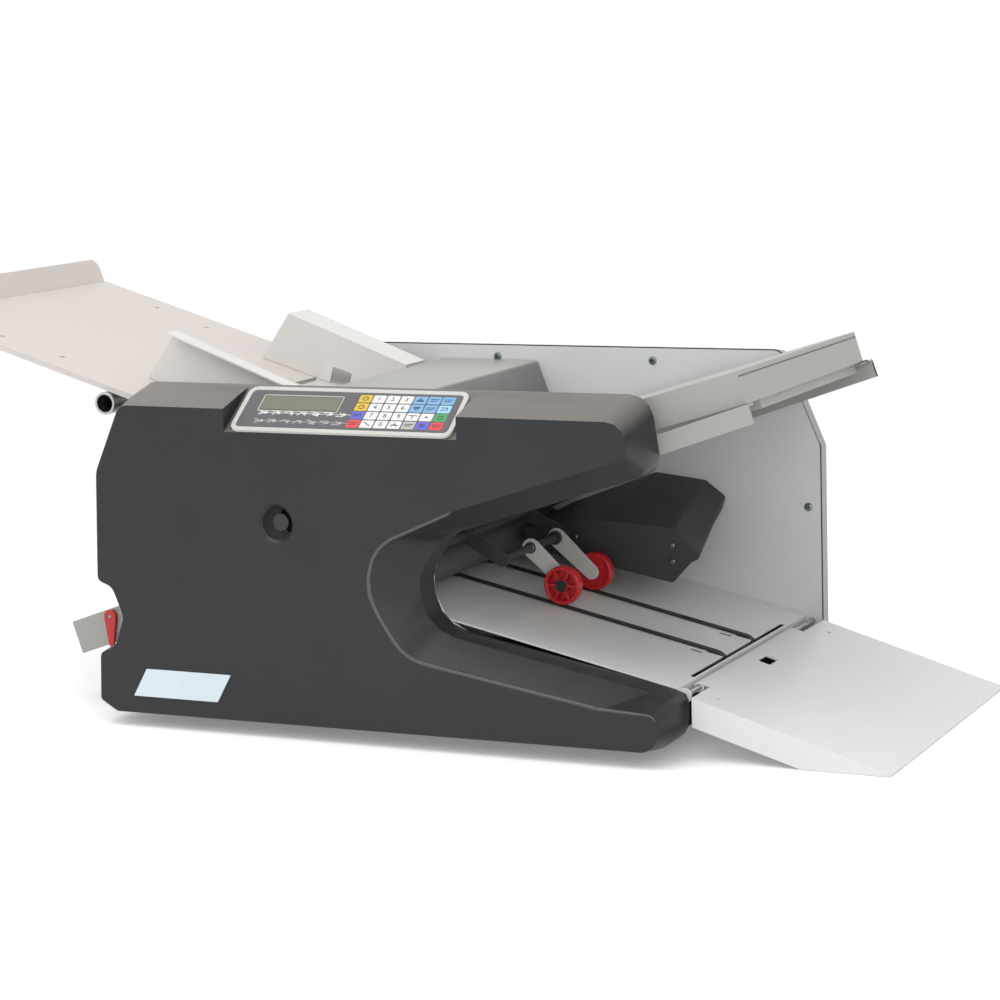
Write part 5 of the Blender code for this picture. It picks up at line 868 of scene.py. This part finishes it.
def build_fold_marks(plane, size):
    """Two rows of small fold pictures left of the keys, each with a thin line to its key."""
    centres = key_centres(size)
    pitch = size.key_pitch * FOLD_PITCH_SHARE
    half_u = pitch * FOLD_SIZE_SHARES[0]
    half_v = size.key_row_pitch * FOLD_SIZE_SHARES[1]
    box_u, box_v, box_corner = FOLD_BOX_SHARES
    box = round_corners(pitch * box_u, size.key_row_pitch * box_v, pitch * box_corner, 2)
    line = size.mark_width * FOLD_LINE_SHARE
    for row, key, name in ((2, "print_white", "fold_marks_pale"), (3, "key_grey", "fold_marks_grey")):
        first_u, v = centres[row][0]
        bm = bmesh.new()
        start = first_u - size.key_pitch / 2
        count = len(FOLD_MARK_SHARES)
        add_stroke(bm, plane, [(start - count * pitch, v), (start, v)], line, LIFT, LINE_TOP)
        for index, shares in enumerate(FOLD_MARK_SHARES):
            centre = start - (count - index - FOLD_FIRST_SHARE) * pitch
            points = [(centre + u * half_u, v + w * half_v) for u, w in shares]
            add_stroke(bm, plane, points, size.mark_width * FOLD_STROKE_SHARE, LIFT, MARK_TOP)
            add_prism(bm, plane, box, LIFT, MARK_TOP, (centre + pitch * FOLD_BOX_PLACE_SHARE, v))
        attach(new_piece(name, bm, printed(key)), "chassis")


def build_display(plane, size):
    """Pale border round the display window and rows of faint character cells on it."""
    low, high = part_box("display_window")
    half_u = (high.x - low.x) / 2
    spot = middle("display_window") - plane.origin
    centre = (spot.dot(plane.across), spot.dot(plane.up))
    half_v = (high.y - low.y) / 2 / math.cos(KEYPAD_SLOPE)
    thickness = (high.z - low.z - 2 * half_v * math.sin(KEYPAD_SLOPE)) / math.cos(KEYPAD_SLOPE)
    face = spot.dot(plane.out) + thickness / 2
    border = bmesh.new()
    edge = size.mark_width * BORDER_SHARE
    corners = [(-1, -1), (1, -1), (1, 1), (-1, 1), (-1, -1)]
    reach_u = half_u + edge
    reach_v = half_v + edge
    points = [(centre[0] + u * reach_u, centre[1] + v * reach_v) for u, v in corners]
    add_stroke(border, plane, points, edge, LIFT, LINE_TOP)
    attach(new_piece("display_border", border, printed("key_grey")), "chassis")
    cells = bmesh.new()
    cell = half_u * 2 * CELL_FIELD_SHARE / DISPLAY_CELLS
    cell_u, cell_v, cell_corner = CELL_SHARES
    outline = round_corners(cell * cell_u, half_v * cell_v, cell * cell_corner, 1)
    for row in (-1, 1):
        for column in range(DISPLAY_CELLS):
            u = centre[0] + (column - (DISPLAY_CELLS - 1) / 2) * cell
            v = centre[1] + row * half_v * CELL_ROW_SHARE
            add_prism(cells, plane, outline, face + LIFT, face + 2 * LIFT, (u, v))
    attach(new_piece("display_cells", cells, display_cell()), "chassis")


def display_cell():
    tint = tuple(part * CELL_TINT for part in palette("display"))
    return surface("display cells", tint, roughness=0.25, grain=0.0006, bump=0.02, blotch=0.04)


# Stacker wheels and arms; profiles are (along the axis, radius) in shares of half the width
# and of the wheel's radius, or of the hub's radius

WHEEL_RIM_SHARE = 0.78
WHEEL_HUB_SHARE = 0.36
TYRE_SHARES = (
    (-0.80, 0.78), (-1.0, 0.8268), (-1.0, 0.95), (-0.72, 1.0), (-0.15, 0.985),
    (0.15, 0.985), (0.72, 1.0), (1.0, 0.95), (1.0, 0.8268), (0.80, 0.78))
HUB_SHARES = ((-0.95, 0.55), (-0.95, 1.0), (0.95, 1.0), (0.95, 0.55))
WEB_SHARES = (0.45, 0.70)       # where the web lies between the wheel's middle and its inner side
WEB_OVERLAP_SHARE = 1.02
RIB_SHARES = (0.525, 0.86, 0.05)
WHEEL_EDGE = 0.0004
HUB_CAP_SHARES = ((0.97, 0.90), (1.10, 0.86), (1.14, 0.50))
HUB_CAP_SIDES = 24
HUB_CAP_EDGE = 0.0002
ARM_RING_SIDES = 28
ARM_RING_SHARES = (1.08, 1.35)  # its inner and outer radius in screw radii
ARM_RING_HEIGHT_SHARE = 0.3


def build_wheel_skin(side, size):
    """Tyre, rim, ribs and hub in red; the dark hub cap is built on its own."""
    node = side + "_stacker_wheel"
    centre = middle(node)
    low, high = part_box(node)
    radius = (high.z - low.z) / 2
    half = (high.y - low.y) / 2
    rim = radius * WHEEL_RIM_SHARE
    hub = radius * WHEEL_HUB_SHARE
    axis = Vector((0.0, 1.0, 0.0))
    bm = bmesh.new()
    add_turned(bm, centre, axis, [(half * along, radius * out) for along, out in TYRE_SHARES], is_ring=True)
    inner = 1.0 if side == "near" else -1.0
    first, second = (inner * half * share for share in WEB_SHARES)
    outer = rim * WEB_OVERLAP_SHARE
    web = [(first, outer), (second, outer), (second, hub), (first, hub)]
    add_turned(bm, centre, axis, web, is_ring=True)
    add_turned(bm, centre, axis, [(half * along, hub * out) for along, out in HUB_SHARES], is_ring=True)
    for index in range(size.wheel_ribs):
        bearing = math.tau * index / size.wheel_ribs
        across = Vector((math.cos(bearing), 0.0, math.sin(bearing)))
        plane = Plane(centre + across * (rim + hub) / 2, across, Vector((0.0, 1.0, 0.0)))
        outline = round_corners((rim - hub) * RIB_SHARES[0], half * RIB_SHARES[1], half * RIB_SHARES[2], 1)
        add_prism(bm, plane, outline, -size.wheel_rib / 2, size.wheel_rib / 2)
    item = round_edges(new_piece(side + "_wheel_skin", bm, gloss_plastic("red")), WHEEL_EDGE)
    attach(item, body_of(node), replaced=[node])
    return centre, half, hub


def build_hub_cap(side, centre, half, hub):
    """Dark cap on the wheel's outer side, over the arm's axle."""
    bm = bmesh.new()
    axis = Vector((0.0, -1.0 if side == "near" else 1.0, 0.0))
    steps = [(half * along, hub * out) for along, out in HUB_CAP_SHARES]
    add_turned(bm, centre, axis, steps, HUB_CAP_SIDES)
    item = round_edges(new_piece(side + "_hub_cap", bm, soft_rubber()), HUB_CAP_EDGE)
    attach(item, body_of(side + "_stacker_wheel"))


# Screws, made by geometry nodes on marked points; places are (X, height) from the machine's origin

PANEL_SCREWS = ((-0.349, 0.3305), (-0.1599, 0.3292), (0.0189, 0.1730))
HOUSING_SCREWS = ((-0.0873, 0.1313), (-0.0873, 0.1487), (-0.1996, 0.1526))
HOUSING_SCREW_SHARE = 0.62
ARM_SCREW_SHARE = 1.05
SCREW_SIDES = 20
SCREW_RIM_SHARE = 0.96
SCREW_TOP_SHARE = 0.55
SCREW_HEIGHT_SHARES = (0.6, 0.4)
SLOT_WIDTH_SHARE = 0.22
SLOT_LENGTH_SHARE = 0.95
SLOT_DEPTH_SHARE = 0.5
SLOT_LEVEL_SHARE = 0.78


def geometry_group(name, inputs):
    tree = bpy.data.node_groups.new(name, "GeometryNodeTree")
    tree.interface.new_socket("Geometry", in_out="INPUT", socket_type="NodeSocketGeometry")
    identifiers = {}
    for label, kind in inputs:
        identifiers[label] = tree.interface.new_socket(label, in_out="INPUT", socket_type=kind).identifier
    tree.interface.new_socket("Geometry", in_out="OUTPUT", socket_type="NodeSocketGeometry")
    return tree, tree.nodes.new("NodeGroupInput"), tree.nodes.new("NodeGroupOutput"), identifiers


def screw_group():
    """Domed cross-slot screw head on each point, facing the point's own direction."""
    inputs = [("Radius", "NodeSocketFloat"), ("Height", "NodeSocketFloat"),
              ("Head", "NodeSocketMaterial"), ("Slot", "NodeSocketMaterial")]
    tree, start, stop, identifiers = geometry_group("screw heads", inputs)

    def radius(share):
        return math_node(tree, "MULTIPLY", start.outputs["Radius"], share)

    def height(share):
        return math_node(tree, "MULTIPLY", start.outputs["Height"], share)

    def cone(low, high, depth):
        made = add_node(tree, "GeometryNodeMeshCone",
                        {"Vertices": SCREW_SIDES, "Side Segments": 1, "Fill Segments": 1,
                         "Radius Top": radius(high), "Radius Bottom": radius(low), "Depth": height(depth)})
        return made.outputs["Mesh"]

    def raised(shape, level):
        lift = add_node(tree, "ShaderNodeCombineXYZ", {"Z": height(level)})
        made = add_node(tree, "GeometryNodeTransform",
                        {"Geometry": shape, "Translation": lift.outputs["Vector"]})
        return made.outputs["Geometry"]

    def joined(shapes, material=None):
        made = add_node(tree, "GeometryNodeJoinGeometry")
        for shape in shapes:
            tree.links.new(shape, made.inputs["Geometry"])
        if material:
            made = add_node(tree, "GeometryNodeSetMaterial", {"Geometry": made.outputs["Geometry"],
                            "Material": start.outputs[material]})
        return made.outputs["Geometry"]

    wall, dome = SCREW_HEIGHT_SHARES
    base = cone(1.0, SCREW_RIM_SHARE, wall)
    head = joined([base, raised(cone(SCREW_RIM_SHARE, SCREW_TOP_SHARE, dome), wall)], "Head")
    # The slot is two dark bars that rise just through the dome: painted shade for a cut slot
    bars = []
    for long_axis in ("X", "Y"):
        across = {"X": radius(SLOT_WIDTH_SHARE), "Y": radius(SLOT_WIDTH_SHARE), "Z": height(SLOT_DEPTH_SHARE)}
        across[long_axis] = radius(SLOT_LENGTH_SHARE)
        size = add_node(tree, "ShaderNodeCombineXYZ", across)
        bar = add_node(tree, "GeometryNodeMeshCube", {"Size": size.outputs["Vector"]})
        bars.append(raised(bar.outputs["Mesh"], SLOT_LEVEL_SHARE))
    screw = joined([head, joined(bars, "Slot")])
    facing = add_node(tree, "GeometryNodeInputNamedAttribute", {"Name": "facing"}, data_type="FLOAT_VECTOR")
    share = add_node(tree, "GeometryNodeInputNamedAttribute", {"Name": "size_share"}, data_type="FLOAT")
    turn = add_node(tree, "FunctionNodeAlignRotationToVector",
                    {"Vector": facing.outputs["Attribute"]}, axis="Z")
    placed = add_node(tree, "GeometryNodeInstanceOnPoints",
                      {"Points": start.outputs["Geometry"], "Instance": screw,
                       "Rotation": turn.outputs["Rotation"], "Scale": share.outputs["Attribute"]})
    real = add_node(tree, "GeometryNodeRealizeInstances", {"Geometry": placed.outputs["Instances"]})
    tree.links.new(real.outputs["Geometry"], stop.inputs["Geometry"])
    return tree, identifiers


def arm_pivots():
    """Side, place on the arm's inner face and facing direction of each arm's pivot."""
    pivots = []
    for side, turn in (("near", -1.0), ("far", 1.0)):
        low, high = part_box(side + "_arm")
        spot = next(joint for joint in frame["joints"] if joint["name"] == side + "_arm_lift")["pos_m"]
        face = high.y - ARM_PLATE if side == "near" else low.y + ARM_PLATE
        pivots.append((side, Vector((spot[0], face, spot[2])), Vector((0.0, turn, 0.0))))
    return pivots


def screw_spots():
    """Screws of each body: place, facing direction and size as a share of a panel screw."""
    toward_front = Vector((0.0, -1.0, 0.0))
    housing_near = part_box("drive_housing")[0].y
    spots = {"chassis": [(ORIGIN + Vector((x, FAR_BAY, z)), toward_front, 1.0) for x, z in PANEL_SCREWS]}
    for x, z in HOUSING_SCREWS:
        place_on = Vector((ORIGIN.x + x, housing_near, ORIGIN.z + z))
        spots["chassis"].append((place_on, toward_front, HOUSING_SCREW_SHARE))
    for side, spot, facing in arm_pivots():
        spots[side + "_arm_unit"] = [(spot, facing, ARM_SCREW_SHARE)]
    return spots


def build_screws(size):
    tree, identifiers = screw_group()
    for body, spots in screw_spots().items():
        mesh = bpy.data.meshes.new("screws_" + body)
        mesh.from_pydata([spot for spot, facing, share in spots], [], [])
        mesh.attributes.new("facing", "FLOAT_VECTOR", "POINT")
        mesh.attributes.new("size_share", "FLOAT", "POINT")
        for index, (spot, facing, share) in enumerate(spots):
            mesh.attributes["facing"].data[index].vector = facing
            mesh.attributes["size_share"].data[index].value = share
        item = bpy.data.objects.new("screws_" + body, mesh)
        bpy.context.scene.collection.objects.link(item)
        modifier = item.modifiers.new("screw heads", "NODES")
        modifier.node_group = tree
        modifier[identifiers["Radius"]] = size.screw_radius
        modifier[identifiers["Height"]] = size.screw_height
        modifier[identifiers["Head"]] = bare_steel("zinc")
        # The slot's dark colour is painted shade
        modifier[identifiers["Slot"]] = printed("dark")
        keep_mesh(item)
        attach(item, body)


# Small trims

PLATE_SLOPE = math.radians(16.65)
PLATE_THICKNESS = 0.033
PLATE_END = (0.0815, 0.35018)   # X and height of its outer end's middle from the machine's origin
GROOVE_DROP = 0.0050
GROOVE_WIDTH = 0.0009
GROOVE_MARGIN = 0.0015


def build_arm_rings(size):
    """Dark ring round each arm's pivot screw."""
    inner, outer = (size.screw_radius * share for share in ARM_RING_SHARES)
    height = size.screw_height * ARM_RING_HEIGHT_SHARE
    profile = [(0.0, outer), (height, outer), (height, inner), (0.0, inner)]
    for side, spot, facing in arm_pivots():
        bm = bmesh.new()
        add_turned(bm, spot, facing, profile, ARM_RING_SIDES, is_ring=True)
        attach(new_piece(side + "_arm_ring", bm, printed("dark")), side + "_arm_unit")


def build_seam_shade(size):
    """Dark line where the far panel meets its cover, along the top and down the right edge: painted shade in
    the gap between them.
    """
    low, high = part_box("far_frame")
    bm = merged_mesh("far_frame")
    seam = bmesh.new()
    for edge in bm.edges:
        if len(edge.link_faces) != 2:
            continue
        front, side = sorted(edge.link_faces, key=lambda face: face.normal.y)
        start, stop = (corner.co for corner in edge.verts)
        centre = (start + stop) / 2
        normal = side.normal
        is_outline = (front.normal.y < -SEAM_FRONT and abs(normal.y) < SEAM_SIDE
                      and normal.x + normal.z > SEAM_OUTWARD)
        is_outer = centre.z > high.z - SEAM_REACH or centre.x > high.x - SEAM_REACH
        if is_outline and is_outer and centre.z > low.z + SEAM_REACH and abs(start.y - stop.y) < LIFT:
            plane = Plane(start, stop - start, normal)
            reach = (stop - start).length
            corners = [(0.0, 0.0), (reach, 0.0), (reach, size.seam), (0.0, size.seam)]
            depth = (-size.seam, LIFT) if plane.out.y < 0.0 else (-LIFT, size.seam)
            add_prism(seam, plane, corners, *depth)
    bm.free()
    attach(new_piece("panel_seam", seam, printed("dark")), "chassis")


def build_groove_shade():
    """Thin dark strip along the upper fold plate's outer end, under its top sheet: painted shade of a groove.
    """
    low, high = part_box("upper_fold_plate")
    across = Vector((math.cos(PLATE_SLOPE), 0.0, math.sin(PLATE_SLOPE)))
    up = Vector((-across.z, 0.0, across.x))
    end_x, end_z = PLATE_END
    top = Vector((ORIGIN.x + end_x, 0.0, ORIGIN.z + end_z)) + up * PLATE_THICKNESS / 2
    near = low.y + GROOVE_MARGIN
    far = high.y - GROOVE_MARGIN
    corners = [(near, -GROOVE_DROP), (far, -GROOVE_DROP),
               (far, -GROOVE_DROP - GROOVE_WIDTH), (near, -GROOVE_DROP - GROOVE_WIDTH)]
    # The strip is dark print a hair off the face, painted shade for the groove
    bm = bmesh.new()
    add_prism(bm, Plane(top, Vector((0.0, 1.0, 0.0)), up), corners, LIFT / 2, LIFT * 2)
    attach(new_piece("plate_groove", bm, printed("dark")), "upper_plate_unit")


# Stage

FLOOR_STEPS = 14                # steps of the bend between floor and backdrop
SENSOR_WIDTH = 36.0             # in millimetres, as the lens is
CLIP_END = 30.0


def build_floor(stage):
    """Floor that bends up into the backdrop, as one sheet."""
    profile = [(-stage.room, 0.0)]
    start = stage.room - stage.bend
    for step in range(FLOOR_STEPS + 1):
        bearing = QUARTER_TURN * step / FLOOR_STEPS
        profile.append((start + stage.bend * math.sin(bearing), stage.bend * (1.0 - math.cos(bearing))))
    profile.append((stage.room, stage.wall))
    bm = bmesh.new()
    rows = []
    for y, z in profile:
        rows.append([bm.verts.new((x, y, z)) for x in (-stage.room, stage.room)])
    for first, second in zip(rows, rows[1:]):
        bm.faces.new((first[0], first[1], second[1], second[0]))
    item = new_piece("studio_floor", bm, floor_material(stage), is_closed=False)
    item.data.shade_smooth()


def floor_material(stage):
    material = bpy.data.materials.new("studio floor")
    material.use_nodes = True
    tree = material.node_tree
    tree.nodes.clear()
    matt = add_node(tree, "ShaderNodeBsdfDiffuse", {"Color": (*stage.floor, 1.0)})
    glow = add_node(tree, "ShaderNodeEmission", {"Color": WHITE, "Strength": stage.floor_glow})
    both = add_node(tree, "ShaderNodeAddShader", {0: matt.outputs[0], 1: glow.outputs[0]})
    path = tree.nodes.new("ShaderNodeLightPath")
    seen = math_node(tree, "MAXIMUM", path.outputs["Is Camera Ray"], path.outputs["Is Glossy Ray"])
    near = add_node(tree, "ShaderNodeMixShader", {0: seen, 1: matt.outputs[0], 2: both.outputs[0]})
    white = add_node(tree, "ShaderNodeEmission", {"Color": WHITE, "Strength": 1.0})
    spot = add_node(tree, "ShaderNodeTexCoord").outputs["Object"]
    reach = add_node(tree, "ShaderNodeVectorMath", {0: spot}, operation="LENGTH").outputs["Value"]
    far = math_node(tree, "MULTIPLY", threshold(tree, reach, *stage.fade), path.outputs["Is Camera Ray"])
    choice = add_node(tree, "ShaderNodeMixShader", {0: far, 1: near.outputs[0], 2: white.outputs[0]})
    add_node(tree, "ShaderNodeOutputMaterial", {"Surface": choice.outputs[0]})
    return material


def build_world(stage):
    world = bpy.data.worlds.new("studio")
    bpy.context.scene.world = world
    world.use_nodes = True
    tree = world.node_tree
    tree.nodes.clear()
    path = tree.nodes.new("ShaderNodeLightPath")
    seen = math_node(tree, "MAXIMUM", path.outputs["Is Camera Ray"], path.outputs["Is Transmission Ray"])
    extra = math_node(tree, "MULTIPLY", seen, 1.0 - stage.sky)
    strength = math_node(tree, "ADD", extra, stage.sky)
    light = add_node(tree, "ShaderNodeBackground", {"Color": WHITE, "Strength": strength})
    add_node(tree, "ShaderNodeOutputWorld", {"Surface": light.outputs[0]})


def add_light(name, spot, target, side, watts):
    lamp = bpy.data.lights.new(name, "AREA")
    lamp.shape = "SQUARE"
    lamp.size = side
    lamp.energy = watts
    item = bpy.data.objects.new(name, lamp)
    item.location = spot
    item.rotation_euler = (Vector(target) - Vector(spot)).to_track_quat("-Z", "Y").to_euler()
    bpy.context.scene.collection.objects.link(item)


def build_camera(stage):
    lens = bpy.data.cameras.new("camera")
    lens.lens = stage.lens
    lens.sensor_width = SENSOR_WIDTH
    lens.shift_x = stage.shift
    lens.clip_end = CLIP_END
    item = bpy.data.objects.new("camera", lens)
    bpy.context.scene.collection.objects.link(item)
    turn = Matrix.Rotation(stage.camera_yaw, 4, "Z")
    tilt = Matrix.Rotation(QUARTER_TURN - stage.camera_pitch, 4, "X")
    roll = Matrix.Rotation(stage.camera_roll, 4, "Z")
    item.matrix_world = Matrix.Translation(ORIGIN + Vector(stage.camera_place)) @ turn @ tilt @ roll
    bpy.context.scene.camera = item


# Operators: one for each piece or group of like pieces

class FOLDER_OT_covers(bpy.types.Operator):
    """Round the moulded covers' edges and give them their dark pebbled finish"""
    bl_idname = "folding_machine.covers"
    bl_label = "Covers"

    def execute(self, context):
        edge = sizes().shell_edge
        dress_node("near_cover", moulded_shell(), edge)
        build_ridge(sizes())
        dress_node("top_cover", moulded_shell("hatch"), edge)
        dress_all({"far_cover": enamel("strip")}, sizes().sheet_edge)
        dress_all({"name_plate": gloss_plastic("label", roughness=0.38)}, LIFT)
        return {"FINISHED"}


class FOLDER_OT_frames(bpy.types.Operator):
    """Dress the frame plates, exit bed and tray in white enamel, the base in black enamel and the feet in
    rubber
    """
    bl_idname = "folding_machine.frames"
    bl_label = "Frames, bed and tray"

    def execute(self, context):
        edge = sizes().sheet_edge
        for node, toward_bay in (("far_frame", -1.0), ("near_frame", 1.0)):
            paint_frame(dress_node(node, enamel("panel"), edge), toward_bay)
        build_seam_shade(sizes())
        white = enamel("bed", roughness=0.36)
        dress_all({"exit_bed": white, "exit_tray": white}, edge)
        dress_all({"base_pan": enamel("hood", roughness=HOOD_ROUGHNESS)}, edge)
        for node in frame["nodes"]:
            if node.startswith("foot_"):
                dress_node(node, soft_rubber(), sizes().part_edge * 2)
        return {"FINISHED"}


class FOLDER_OT_feed_table(bpy.types.Operator):
    """Dress the feed table, its extension, the guides and the cross tube"""
    bl_idname = "folding_machine.feed_table"
    bl_label = "Feed table and guides"

    def execute(self, context):
        edge = sizes().sheet_edge
        dress_all({"feed_table": enamel("table"), "table_extension": enamel("table")}, edge)
        dress_all({"near_side_guide": enamel("guide"), "far_side_guide": enamel("guide")}, edge)
        dress_all({"table_tube": bare_steel()}, sizes().part_edge)
        return {"FINISHED"}


class FOLDER_OT_fold_plates(bpy.types.Operator):
    """Dress the fold plates, their stops and the red latch, and line the plate's end"""
    bl_idname = "folding_machine.fold_plates"
    bl_label = "Fold plates"

    def execute(self, context):
        edge = sizes().sheet_edge
        dress_all({"upper_fold_plate": enamel("grey"), "lower_fold_plate": enamel("grey")}, edge)
        dress_all({"red_latch": gloss_plastic("red")}, sizes().part_edge)
        recolour_node("upper_fold_stop", bare_steel())
        recolour_node("lower_fold_stop", bare_steel())
        build_groove_shade()
        return {"FINISHED"}


class FOLDER_OT_drive(bpy.types.Operator):
    """Dress the rollers, gears, belts, motor, power parts and drive housing"""
    bl_idname = "folding_machine.drive"
    bl_label = "Drive and rollers"

    def execute(self, context):
        dress_all({"drive_housing": enamel("hood", roughness=HOOD_ROUGHNESS)}, sizes().sheet_edge)
        steel = bare_steel()
        rubber = soft_rubber()
        for node in drive_nodes():
            # The jackshaft, seen through the hand hole, gets black enamel as painted shade; the carriers and
            # motor pulley get the same black enamel
            if node in ("jackshaft", "arm_carrier", "retard_carrier", "motor_pulley"):
                recolour_node(node, enamel("hood", roughness=HOOD_ROUGHNESS))
            elif node.endswith("_belt"):
                recolour_node(node, rubber)
            elif node.startswith("fold_roller"):
                recolour_node(node, soft_rubber("roller"))
            else:
                recolour_node(node, steel)
        recolour_node("feed_roller", rubber)
        recolour_node("control_board", gloss_plastic("board"))
        recolour_node("motor_bracket", enamel("grey"))
        plastic = gloss_plastic("dark", roughness=0.40)
        dress_all({"power_inlet": plastic, "power_rocker": plastic}, sizes().part_edge)
        return {"FINISHED"}


def drive_nodes():
    """Every node that no other operator dresses: shafts, gears, belts and the motor."""
    dressed = ("cover", "frame", "plate", "guide", "table", "tray", "bed", "foot", "pan", "keypad",
               "display", "latch", "stop", "extension", "wheel", "arm", "housing", "inlet", "rocker")
    nodes = [node for node in frame["nodes"] if not any(word in node for word in dressed)]
    return nodes + ["tray_hinge_rod", "cover_hinge_rod", "arm_carrier"]


class FOLDER_OT_wheels(bpy.types.Operator):
    """Build the ribbed red stacker wheels and dress their arms"""
    bl_idname = "folding_machine.wheels"
    bl_label = "Stacker wheels and arms"

    def execute(self, context):
        for side in ("near", "far"):
            centre, half, hub = build_wheel_skin(side, sizes())
            build_hub_cap(side, centre, half, hub)
        plastic = surface("plastic arm", palette("arm"), roughness=0.40, grain=0.0016, bump=0.05,
                          blotch=0.05, dust=0.10)
        dress_all({"near_arm": plastic, "far_arm": plastic}, sizes().part_edge)
        build_arm_rings(sizes())
        return {"FINISHED"}


class FOLDER_OT_keypad(bpy.types.Operator):
    """Build the keypad's keys, legends, fold marks and display details"""
    bl_idname = "folding_machine.keypad"
    bl_label = "Keypad"

    def execute(self, context):
        plane = keypad_plane()
        dress_all({"keypad_bezel": gloss_plastic("bezel", roughness=0.40)}, sizes().part_edge * 2)
        dress_all({"keypad_overlay": printed("membrane")}, LIFT)
        dress_all({"display_window": gloss_plastic("display", roughness=0.16)}, LIFT)
        build_keys(plane, sizes())
        build_legends(plane, sizes())
        build_fold_marks(plane, sizes())
        build_display(plane, sizes())
        return {"FINISHED"}


class FOLDER_OT_screws(bpy.types.Operator):
    """Put cross-slot screw heads on the far panel, the drive housing and the arms"""
    bl_idname = "folding_machine.screws"
    bl_label = "Screws"

    def execute(self, context):
        build_screws(sizes())
        return {"FINISHED"}


class FOLDER_OT_stage(bpy.types.Operator):
    """Pale floor and backdrop, soft light and the camera"""
    bl_idname = "folding_machine.stage"
    bl_label = "Stage"

    def execute(self, context):
        stage = context.scene.folding_machine_stage
        context.scene.view_settings.view_transform = "Standard"
        build_floor(stage)
        build_world(stage)
        add_light("light_above", stage.key_place, stage.light_target, stage.key_size, stage.key_power)
        add_light("light_front", stage.fill_place, stage.light_target, stage.fill_size, stage.fill_power)
        build_camera(stage)
        return {"FINISHED"}


class FOLDER_PT_sidebar(bpy.types.Panel):
    """Sizes, colours and building steps of the paper folding machine"""
    bl_label = "Folding Machine"
    bl_idname = "FOLDER_PT_sidebar"
    bl_space_type = "VIEW_3D"
    bl_region_type = "UI"
    bl_category = "Folding Machine"

    def draw(self, context):
        scene = context.scene
        for group in (scene.folding_machine_sizes, scene.folding_machine_colours,
                      scene.folding_machine_stage):
            column = self.layout.column(align=True)
            for name in group.__annotations__:
                column.prop(group, name)
        for operator in OPERATORS:
            self.layout.operator(operator.bl_idname)


PROPERTY_GROUPS = (FoldingMachineSizes, FoldingMachineColours, FoldingMachineStage)
OPERATORS = (FOLDER_OT_covers, FOLDER_OT_frames, FOLDER_OT_feed_table, FOLDER_OT_fold_plates, FOLDER_OT_drive,
             FOLDER_OT_wheels, FOLDER_OT_keypad, FOLDER_OT_screws, FOLDER_OT_stage)
CLASSES = (*PROPERTY_GROUPS, *OPERATORS, FOLDER_PT_sidebar)


def register():
    for made in CLASSES:
        bpy.utils.register_class(made)
    bpy.types.Scene.folding_machine_sizes = PointerProperty(type=FoldingMachineSizes)
    bpy.types.Scene.folding_machine_colours = PointerProperty(type=FoldingMachineColours)
    bpy.types.Scene.folding_machine_stage = PointerProperty(type=FoldingMachineStage)


def unregister():
    del bpy.types.Scene.folding_machine_stage
    del bpy.types.Scene.folding_machine_colours
    del bpy.types.Scene.folding_machine_sizes
    for made in reversed(CLASSES):
        bpy.utils.unregister_class(made)


def main():
    register()
    bpy.ops.folding_machine.covers()
    bpy.ops.folding_machine.frames()
    bpy.ops.folding_machine.feed_table()
    bpy.ops.folding_machine.fold_plates()
    bpy.ops.folding_machine.drive()
    bpy.ops.folding_machine.wheels()
    bpy.ops.folding_machine.keypad()
    bpy.ops.folding_machine.screws()
    bpy.ops.folding_machine.stage()


if __name__ == "__main__":
    main()
